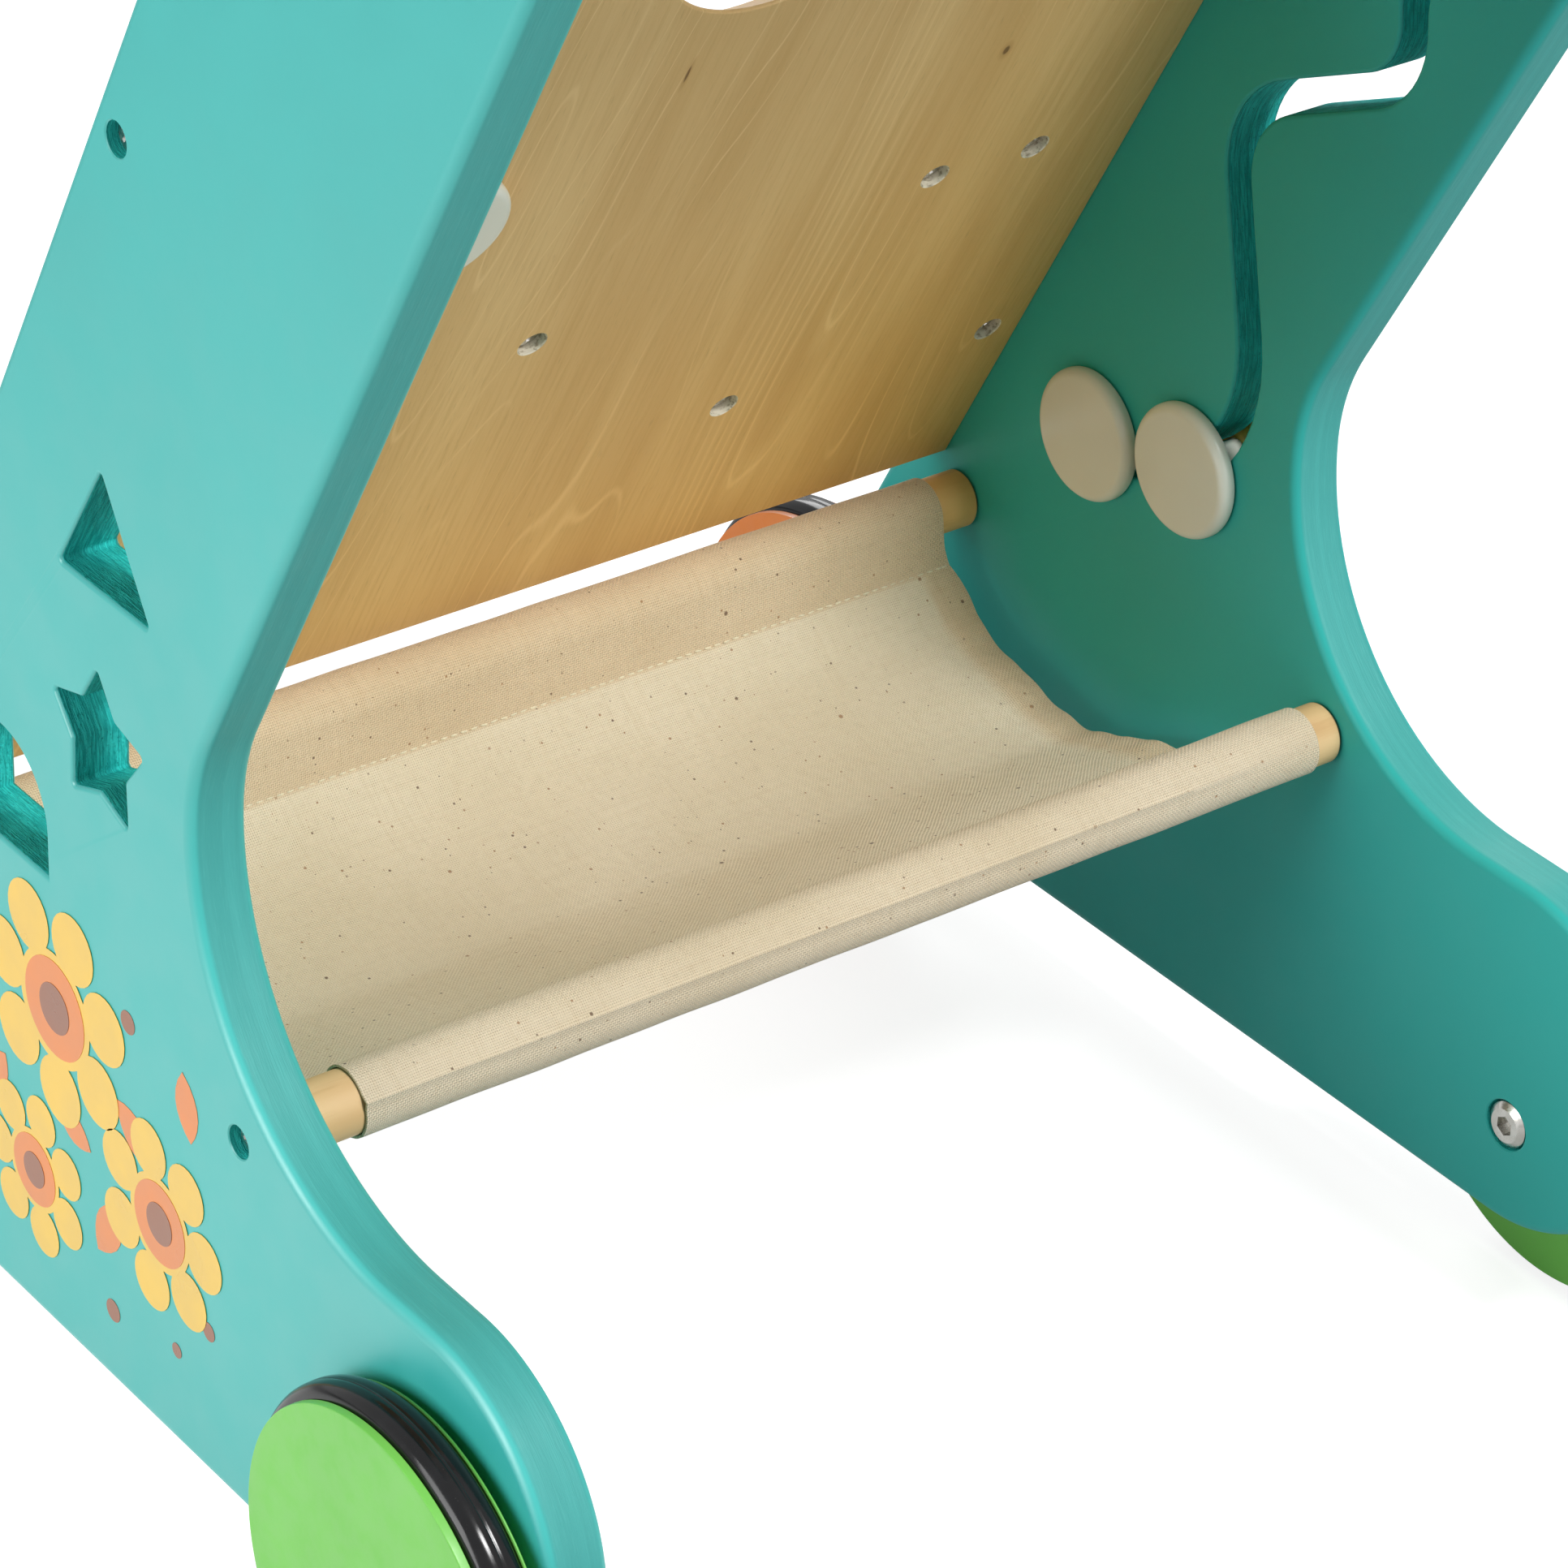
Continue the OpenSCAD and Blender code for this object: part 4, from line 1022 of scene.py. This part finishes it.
class WALKER_OT_fasteners(Operator):
    """Makes the screws and the axle bolts and plates the washers and nuts"""

    bl_idname = "walker.fasteners"
    bl_label = "Screws and bolts"

    def execute(self, context):
        screw = screw_pattern()
        head_x = OUTER_X - 2.6
        rows = (
            ("left_panel_screws", [across(-head_x, c, -1) for c in PANEL_SCREWS]),
            ("right_panel_screws", [across(head_x, c, 1) for c in PANEL_SCREWS]),
            ("board_screws", [on_board(x, s, 2.2) for x, s in BOARD_SCREWS]),
        )
        for name, places in rows:
            made = []
            for i, where in enumerate(places):
                made.append(copy_of(screw, f"{name}_{i}", where @ Matrix.Rotation(0.9 * i, 4, "Z")))
            dress(join(name + "_zinc", made), zinc, nodes=[name])
        bolt = turned("bolt", [(0, 4.0), (4.45, 4.0), (4.6, 3.95), (6.1, 2.8), (6.2, 2.55), (6.2, 0.3), (6.0, 0),
                               (4, 0), (4, -22), (3.4, -23), (0, -23)], 64)
        hexagon = [polar(2.6, 60 * i) for i in range(6)]
        drill(bolt, [tapered("socket", hexagon, ((1.1, 4.6), (1.07, 4.05), (1.0, 3.75), (0.98, 1.2)))])
        smooth(bolt, 30)
        for _, wheel, where in at_axles(*BOLT_X, -1):
            dress(copy_of(bolt, wheel + "_bolt_zinc", where), zinc, nodes=[wheel + "_bolt"])
        drop(screw, bolt)
        for name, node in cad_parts.items():
            if name.endswith(("_washer", "_nut")):
                node.data.materials.clear()
                node.data.materials.append(zinc())
        return {"FINISHED"}


def button(name, d, t, edge, dish=0.0, steps=72):
    """A turned button along Z from its flat base, with a soft edge and a slightly domed face."""
    r = d / 2
    profile = [(0, 0), (r - 0.7, 0), (r - 0.2, 0.2), (r, 0.7)]
    profile += arc((r - edge, t - dish - edge), edge, 0, 90, 8)
    profile += [((r - edge) * k, t - dish * k * k) for k in (0.8, 0.6, 0.4, 0.2, 0.0)]
    return turned(name, profile, steps)


class WALKER_OT_sliders(Operator):
    """Turns the two sliders that run in the slot"""

    bl_idname = "walker.sliders"
    bl_label = "Sliders"

    def execute(self, context):
        step = 2 * math.asin(SLIDER_GAP / 2 / BEND_R)
        start = math.atan2(LOWER_SLIDER[1] - BEND[1], LOWER_SLIDER[0] - BEND[0]) - step
        upper = (BEND[0] + BEND_R * math.cos(start), BEND[1] + BEND_R * math.sin(start))
        disc = smooth(button("disc", *BACK_DISC), 40)
        knob = smooth(button("knob", 32.0, 12.0, 5.0, 0.8), 40)
        pin = turned("pin", [(0, -16), (3.4, -16), (3.8, -15.6), (3.8, 0.4), (0, 0.4)], 32)
        for name, c, paint in (("lower_slider", LOWER_SLIDER, orange_paint), ("upper_slider", upper, yellow_paint)):
            inside, outside = across(INNER_X - 0.3, c, -1), across(OUTER_X + 0.3, c, 1)
            back = [copy_of(disc, "back", inside), copy_of(pin, "spindle", outside)]
            dress(join(name + "_disc_cream", back), cream_plastic, name, [name + "_disc"])
            dress(copy_of(knob, name + "_knob_paint", outside), paint, name, [name + "_knob"])
        drop(disc, knob, pin)
        return {"FINISHED"}


class WALKER_OT_play_pieces(Operator):
    """Makes the gears, the bead rail, the fixed knob and the spinner on the board"""

    bl_idname = "walker.play_pieces"
    bl_label = "Play pieces"

    def execute(self, context):
        (ax, a_up), (bx, b_up) = GEARS
        aim = math.degrees(math.atan2(b_up - a_up, bx - ax))
        peg = turned("peg", [(0, 0), (13, 0), (13, 1.3), (12.8, 1.5), (7, 1.5), (7, 11.1), (12.4, 11.1), (13, 11.5),
                             (13, 14.0), (12.6, 15.2), (11.6, 15.9), (10.4, 16.1), (5, 16.2), (0, 16.25)], 64)
        smooth(peg, 40)
        for name, c, turn, paint in (("upper_gear", GEARS[0], aim, orange_paint),
                                     ("lower_gear", GEARS[1], aim + 195, green_paint)):
            gear = cut_out(name + "_paint", [cog_outline(turn, *COG), ring(GEAR_BORE)], GEAR_T, 1.2, 3)
            place(gear, on_board(*c, GEAR_UP))
            dress(smooth(gear), paint, name, [name])
            dress(copy_of(peg, name + "_peg_cream", off_board(*c, BOARD_T)), cream_plastic, nodes=[name + "_peg"])
        drop(peg)
        rail = []
        for c in RAIL_POSTS:
            post = turned("post", [(0, 0), (6, 0), (6, 22.2), (5.5, 23.4), (4.4, 24), (0, 24.1)], 48)
            rail.append(place(post, off_board(*c, BOARD_T)))
        rod = turned("rod", [(0, 0), (3, 0.2)] + [(3, 30.6 * i / 4) for i in range(1, 5)] + [(0, 30.8)], 32)
        rail.append(place(rod, stand(at_board(*RAIL_POSTS[0], BOARD_T + 15), (1, 0, 0))))
        for piece in rail:
            smooth(piece, 40)
        dress(join("bead_rail_wood", rail), dowel_wood, nodes=["bead_rail"])
        half = 4.5
        profile = [(3.06, -half + 0.3), (3.4, -half)]
        for i in range(13):
            a = math.radians(-90 + 180 * i / 12)
            profile.append((8.3 + 2.7 * math.cos(a), half * math.sin(a)))
        profile += [(3.4, half), (3.06, half - 0.3)]
        bead = turned("rail_bead_paint", profile, 56, closed=True)
        low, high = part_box("rail_bead")
        place(bead, stand([(a + b) / 2 / MM for a, b in zip(low, high)], (1, 0, 0)))
        dress(smooth(bead, 40), yellow_paint, "bead", ["rail_bead"])
        stud = button("fixed_knob_paint", 19.0, 13.0, 5.2, 0.6, 56)
        place(stud, off_board(*STUD, BOARD_T))
        dress(smooth(stud, 40), orange_paint, nodes=["fixed_knob"])
        petals = place(cut_out("petals", [cog_outline(0, *FLOWER)], 8.0, 2.2), on_board(*SPINNER, 30.5))
        stem = turned("stem", [(0, -3.0), (3.5, -3.0), (3.8, -2.7), (3.8, 9.3), (6.8, 9.3), (6.8, 27), (0, 27)], 40)
        place(stem, off_board(*SPINNER, 0))
        flower = join("spinner_petals_paint", [smooth(petals), smooth(stem, 40)])
        dress(flower, yellow_paint, "spinner", ["spinner_petals"])
        disc = place(button("spinner_disc_cream", *BACK_DISC), on_board(*SPINNER, -0.3))
        dress(smooth(disc, 40), cream_plastic, "spinner", ["spinner_disc"])
        return {"FINISHED"}


# Cloth basket

FRONT_SEAM = (79.6, 113.6)
REAR_SEAM = (-43.5, 113.6)
CASING_R = 8.35
SHEET_LINE = ((73.6, 107.9), (67.6, 102.4), (59.5, 98.6), (50.5, 95.8), (40.5, 93.3), (31.0, 91.9), (22.0, 92.0),
              (11.0, 94.9), (0.0, 98.7), (-11.5, 102.7), (-22.0, 106.4), (-33.0, 110.1))
SLING_LEFT, SLING_RIGHT, HEM = -137.0, 141.7, 13.0
# Creases along the rear sleeve: an angle about the dowel and how far out the cloth lies there.
RIDGES = ((92, 8.7), (153, 9.4), (226, 9.0))


def drawn_line(points, step=0.4):
    """A smooth line through points, as closely spaced points."""
    line = []
    for i in range(len(points) - 1):
        p1, p2 = Vector(points[i]), Vector(points[i + 1])
        p0 = Vector(points[i - 1]) if i else p1 * 2 - p2
        p3 = Vector(points[i + 2]) if i + 2 < len(points) else p2 * 2 - p1
        steps = max(1, int((p2 - p1).length / step))
        for k in range(steps):
            t = k / steps
            bend, twist = 2 * p0 - 5 * p1 + 4 * p2 - p3, 3 * p1 - p0 - 3 * p2 + p3
            line.append(0.5 * ((2 * p1) + (p2 - p0) * t + bend * t * t + twist * t ** 3))
    line.append(Vector(points[-1]))
    return line


def ridge_line(a, one, two):
    """How far out the straight cloth between two ridges lies at an angle."""
    (a1, r1), (a2, r2) = one, two
    if not a1 <= a <= a2:
        return 0.0
    turn = math.radians(a2 - a1)
    return math.sin(turn) / (math.sin(math.radians(a2 - a)) / r1 + math.sin(math.radians(a - a1)) / r2)


def casing(centre, seam, rear):
    """The sleeve round a dowel, from the seam inside the basket, over the top and back under the dowel."""
    way = 1 if rear else -1
    gap = Vector(seam) - Vector(centre)
    far = gap.length
    toward = math.degrees(math.atan2(gap.y, gap.x))
    half = math.degrees(math.acos(CASING_R / far))
    first, last = toward + way * half, toward - way * half + way * 360
    points = []
    steps = 90
    for i in range(steps + 1):
        a = first + (last - first) * i / steps
        ridges = [ridge_line(a % 360, *two) for two in zip(RIDGES, RIDGES[1:])] if rear else []
        points.append(Vector(centre) + max([CASING_R] + ridges) * Vector(polar(1, a)))
    return points


def sling_line():
    """The cloth's middle, from the turn-in under the front seam to the one under the rear seam."""
    front_seam, rear_seam = Vector(FRONT_SEAM), Vector(REAR_SEAM)
    front = casing(FRONT_DOWEL, FRONT_SEAM, False)[::-1]
    rear = casing(REAR_DOWEL, REAR_SEAM, True)
    under_front, under_rear = Vector((0.53, -0.53)), Vector((-0.2, -0.72))
    points = drawn_line([front_seam + Vector((-1.5, -1.42)) + under_front, front_seam + under_front, front[0]])
    points += front[1:]
    points += drawn_line([front[-1], front_seam])[1:]
    points += drawn_line([front_seam, *SHEET_LINE, rear_seam])[1:]
    points += drawn_line([rear_seam, rear[0]])[1:]
    points += rear[1:]
    points += drawn_line([rear[-1], rear_seam + under_rear, rear_seam + Vector((2.0, -0.65)) + under_rear])[1:]
    return points


def even_steps(points, rows):
    """The line's points at even distances, with each point's distance from its start."""
    reach = [0.0]
    for a, b in zip(points, points[1:]):
        reach.append(reach[-1] + (b - a).length)
    spread, k = [], 0
    for i in range(rows + 1):
        want = reach[-1] * i / rows
        while k < len(reach) - 2 and reach[k + 1] < want:
            k += 1
        t = (want - reach[k]) / max(1e-9, reach[k + 1] - reach[k])
        spread.append((points[k].lerp(points[k + 1], min(1, max(0, t))), want))
    return spread


def ease(t):
    t = min(1.0, max(0.0, t))
    return t * t * (3 - 2 * t)


class WALKER_OT_cloth_basket(Operator):
    """Hangs the cloth basket on its two dowels and sews its seams"""

    bl_idname = "walker.cloth_basket"
    bl_label = "Cloth basket"

    def execute(self, context):
        cloth = context.scene.walker_cloth
        rows, columns = cloth.rows, cloth.columns
        line = even_steps(sling_line(), rows)
        whole = line[-1][1]
        left, right = SLING_LEFT, SLING_RIGHT
        piece = begin(bpy.ops.mesh.primitive_grid_add, "basket_sling_cotton", x_subdivisions=columns,
                      y_subdivisions=rows, calc_uvs=True)
        mesh = piece.data

        def row_at(seam, inner):
            near = [(p - Vector(seam)).length + (0 if inner(s) else 99) for p, s in line]
            return near.index(min(near))

        first = line[row_at(FRONT_SEAM, lambda s: s > 40)][1]
        last = line[row_at(REAR_SEAM, lambda s: s < whole - 40)][1]
        layers = mesh.attributes.new("layers", "FLOAT", "POINT")
        spots, flat = [], []

        def wave(x, y, z):
            return noise.noise(Vector((x, y, z)))

        for j, (p, s) in enumerate(line):
            ahead = line[min(rows, j + 1)][0] - line[max(0, j - 1)][0]
            out = Vector((-ahead.y, ahead.x)).normalized()
            hangs = first < s < last
            inside = ease((s - first) / 22) * ease((last - s) / 40) if hangs else 0.0
            short = 4.5 * (1 - ease((s - first + 8) / 20))
            start, end = left + 3.4 * inside, right - (2.4 * inside + short)
            doubled = 1.0 if s <= first else 0.4 if s >= last else 0.0
            for i in range(columns + 1):
                x = start + i / columns * (end - start)
                band = ease((HEM - min(x - left, right - x)) / 2.0) if hangs else 0.0
                ripple = 0.0 if inside > 0 else wave(x * 0.05, s * 0.05, 2.2) * 0.22
                if hangs:
                    fold = wave(x * 0.012, s * 0.03, 3.1) * 1.1 + wave(x * 0.035, s * 0.022, 8.4) * 0.55
                    fold += math.exp(-((right - x) / 16) ** 2) * wave(1.7, s * 0.09, 5.0) * 2.4
                    fold += math.exp(-((x - left) / 16) ** 2) * wave(6.7, s * 0.09, 1.0) * 2.4
                    q = p - out * (inside * (fold + 0.7 * band) + ripple)
                else:
                    q = p + out * ripple
                arm = q - Vector(REAR_DOWEL)
                if s >= last and RIDGES[0][0] <= math.degrees(math.atan2(arm.y, arm.x)) % 360 <= RIDGES[-1][0]:
                    q -= arm * (ease((x - right + 45) / 40) * (1 - CASING_R / arm.length))
                spots.append((x * MM, q.x * MM, q.y * MM))
                flat.append((x * MM, s * MM))
                # Marks the doubled cloth, where the finish paints shade.
                layers.data[j * (columns + 1) + i].value = max(band, doubled)
        mesh.vertices.foreach_set("co", [c for spot in spots for c in spot])
        mesh.uv_layers.active.name = "weave"
        weave = mesh.uv_layers["weave"].data
        for loop in mesh.loops:
            weave[loop.index].uv = flat[loop.vertex_index]
        mesh.update()
        modified(piece, "SOLIDIFY", thickness=cloth.thick, offset=0.0)
        dress(smooth(piece, 60, even=False), woven_cotton, nodes=["basket_sling"])
        threads = dress(self.stitches(cloth.stitch / MM, left, right), sewing_thread)
        return {"FINISHED"}

    def stitches(self, pitch, left, right):
        """One sewn stitch, copied along both seams."""
        pattern = begin(bpy.ops.mesh.primitive_uv_sphere_add, "pattern", segments=8, ring_count=5, radius=0.5 * MM)
        with editing(pattern):
            bpy.ops.transform.resize(value=(2.3, 0.62, 0.46))
        rng = random.Random(7)
        made = []
        for seam, (dy, dz), lean in ((FRONT_SEAM, (-0.3, 0.31), 45), (REAR_SEAM, (0.13, 0.4), -20)):
            slant = Matrix.Rotation(math.radians(lean), 4, "X")
            x = left + 2.0
            while x < right - 4.6:
                at = Vector((x, seam[0] + dy + rng.uniform(-0.12, 0.12), seam[1] + dz)) * MM
                tilt = Matrix.Rotation(rng.uniform(-0.12, 0.12), 4, "Z")
                made.append(copy_of(pattern, "stitch", Matrix.Translation(at) @ slant @ tilt))
                x += pitch if x < right - 9 else pitch * 0.62
        drop(pattern)
        return smooth(join("basket_stitches", made), 80, even=False)


class WALKER_OT_side_print(Operator):
    """Lays a printed film of flowers on the outside of the left panel"""

    bl_idname = "walker.side_print"
    bl_label = "Side print"

    def execute(self, context):
        count = 0

        def lay(loop, paint, level):
            nonlocal count
            film = cut_out(f"print_{count:02d}", [loop], 0.1, 0.03, 1)
            place(film, Matrix(((0, 0, -1, -(164.96 + 0.11 * level) * MM), (1, 0, 0, 0), (0, 1, 0, 0), (0, 0, 0, 1))))
            dress(film, paint)
            count += 1

        def bloom(y, z, size, turn, petals=7):
            loop = [(y + u, z + v) for u, v in cog_outline(turn, size * 0.42, size * 0.62, size * 0.25, petals, 22)]
            lay(loop, yellow_paint, 2)
            lay(ring(size * 0.72, 40, (y, z)), orange_paint, 3)
            lay(ring(size * 0.36, 32, (y, z)), print_brown, 4)

        def leaf(y, z, size, turn):
            steps = (0.0, 0.12, 0.25, 0.4, 0.55, 0.7, 0.85, 1.0)
            shape = [(size * t, size * 0.26 * math.sin(math.pi * t) ** 0.8) for t in steps]
            shape += [(u, -v) for u, v in reversed(shape[1:-1])]
            sin, cos = math.sin(math.radians(turn)), math.cos(math.radians(turn))
            shape = [(y + u * cos - v * sin, z + u * sin + v * cos) for u, v in shape]
            lay(shape[::-1], orange_paint, 1)

        bloom(24, 118, 36, 10)
        bloom(-20, 84, 30, 25)
        bloom(36, 66, 26, 0)
        for one in ((-2, 108, 20, 215), (48, 92, 18, 300), (8, 60, 20, 120), (-34, 114, 18, 80), (10, 86, 16, 20)):
            leaf(*one)
        for y, z, d in ((-8, 132, 6), (-40, 66, 5), (2, 46, 6), (52, 124, 5), (-26, 52, 4)):
            lay(ring(d, 24, (y, z)), print_brown, 1)
        return {"FINISHED"}


# The photograph's camera, in metres and millimetres of lens
CAMERA_AT = (-0.713387, -0.936693, 0.858147)
CAMERA_RIGHT = Vector((0.79890727, -0.6003216, 0.0368937))
CAMERA_UP = Vector((0.28944375, 0.43751273, 0.85135476))
CAMERA_LENS = 132.995


class WALKER_OT_stage(Operator):
    """Sets the floor, the light and the camera"""

    bl_idname = "walker.stage"
    bl_label = "Stage"

    def execute(self, context):
        scene = context.scene
        look = scene.walker_stage
        floor = begin(bpy.ops.mesh.primitive_grid_add, "floor", x_subdivisions=8, y_subdivisions=8, size=14.0)
        f = Finish("pale floor")
        f.tree.nodes.remove(f.shader)
        path = f.node("LightPath").outputs
        bright = f.maths("MAXIMUM", path["Is Camera Ray"], path["Is Transmission Ray"])
        # Painted reflection: a patch of floor to the left front of the walker glows for glossy rays only, to brighten
        # the left panel's reflections.
        far = f.node("VectorMath", {0: f.coords(), 1: (-0.3, 0.14, 0)}, operation="DISTANCE").outputs["Value"]
        painted_reflection_patch = f.times(path["Is Glossy Ray"], f.span(far, 0.62, 0.15, 0.1, 1.0))
        out = f.node("VectorMath", {0: f.coords()}, operation="LENGTH").outputs["Value"]
        strength = f.maths("MAXIMUM", f.times(bright, f.span(out, 0.5, 1.6, 0.84, 1.0)), painted_reflection_patch)
        glow = f.node("Emission", {"Color": (1, 1, 1), "Strength": strength}).outputs[0]
        tone = f.mix(f.noise(f.coords(), 2.0), (0.44, 0.44, 0.435), (0.46, 0.46, 0.46))
        pale = f.node("BsdfDiffuse", {"Color": tone}).outputs[0]
        f.feed(f.tree.nodes["Material Output"].inputs["Surface"], f.node("AddShader", {0: glow, 1: pale}).outputs[0])
        floor.data.materials.append(f.material)
        scene.world = bpy.data.worlds.new("studio")
        scene.world.use_nodes = True
        w = Nodes(scene.world.node_tree)
        path = w.node("LightPath").outputs
        seen = w.maths("MAXIMUM", path["Is Camera Ray"], path["Is Glossy Ray"])
        seen = w.maths("MAXIMUM", seen, path["Is Transmission Ray"])
        sky = w.tree.nodes["Background"].inputs
        w.feed(sky["Color"], (1, 1, 1))
        w.feed(sky["Strength"], w.node("MapRange", {"Value": seen, "To Min": look.sky, "To Max": 1.0}).outputs[0])
        for name, at, aim, size, watts in (("side light", (-1.95, 0.12, 0.6), (-0.16, 0, 0.16), 1.1, look.key),
                                           ("top light", (0.38, -1.45, 2.05), (0, 0, 0.15), 0.45, look.top),
                                           ("rear light", (0.6, -2.2, 0.85), (0, 0, 0.2), 1.0, look.fill),
                                           ("front light", (1.2, 2.1, 1.4), (0, 0, 0.25), 1.2, look.front)):
            lamp = begin(bpy.ops.object.light_add, name, type="AREA", location=at)
            tuned(lamp.data, size=size, energy=watts)
            lamp.rotation_euler = (Vector(aim) - Vector(at)).to_track_quat("-Z", "Y").to_euler()
        camera = begin(bpy.ops.object.camera_add, "camera")
        tuned(camera.data, lens=CAMERA_LENS, sensor_width=36.0, clip_start=0.02, clip_end=60.0)
        turn = Matrix((CAMERA_RIGHT, CAMERA_UP, CAMERA_RIGHT.cross(CAMERA_UP))).transposed().to_4x4()
        camera.matrix_world = Matrix.Translation(CAMERA_AT) @ turn
        scene.camera = camera
        scene.view_settings.view_transform = "Standard"
        return {"FINISHED"}


class WALKER_PT_tools(Panel):
    """Lists the walker's pieces and their settings."""

    bl_label = "Push walker"
    bl_idname = "WALKER_PT_tools"
    bl_space_type = "VIEW_3D"
    bl_region_type = "UI"
    bl_category = "Walker"

    def draw(self, context):
        column = self.layout.column(align=True)
        for step in STEPS:
            column.operator(step.bl_idname)
        for name, group in GROUPS.items():
            box = self.layout.box()
            for key in group.__annotations__:
                box.prop(getattr(context.scene, name), key)


STEPS = (WALKER_OT_stage, WALKER_OT_side_panels, WALKER_OT_activity_board, WALKER_OT_round_bars, WALKER_OT_wheels,
         WALKER_OT_fasteners, WALKER_OT_sliders, WALKER_OT_play_pieces, WALKER_OT_cloth_basket, WALKER_OT_side_print)
GROUPS = {"walker_wood": WalkerWoodwork, "walker_wheels": WalkerWheels, "walker_cloth": WalkerCloth,
          "walker_toys": WalkerToys, "walker_stage": WalkerStage}


def register():
    for made in (*GROUPS.values(), *STEPS, WALKER_PT_tools):
        bpy.utils.register_class(made)
    for name, group in GROUPS.items():
        setattr(bpy.types.Scene, name, PointerProperty(type=group))


def unregister():
    for name in GROUPS:
        delattr(bpy.types.Scene, name)
    for made in reversed((*GROUPS.values(), *STEPS, WALKER_PT_tools)):
        bpy.utils.unregister_class(made)


def main():
    register()
    for step in STEPS:
        area, tool = step.bl_idname.split(".")
        getattr(getattr(bpy.ops, area), tool)()
    clear_selection()


if __name__ == "__main__":
    main()
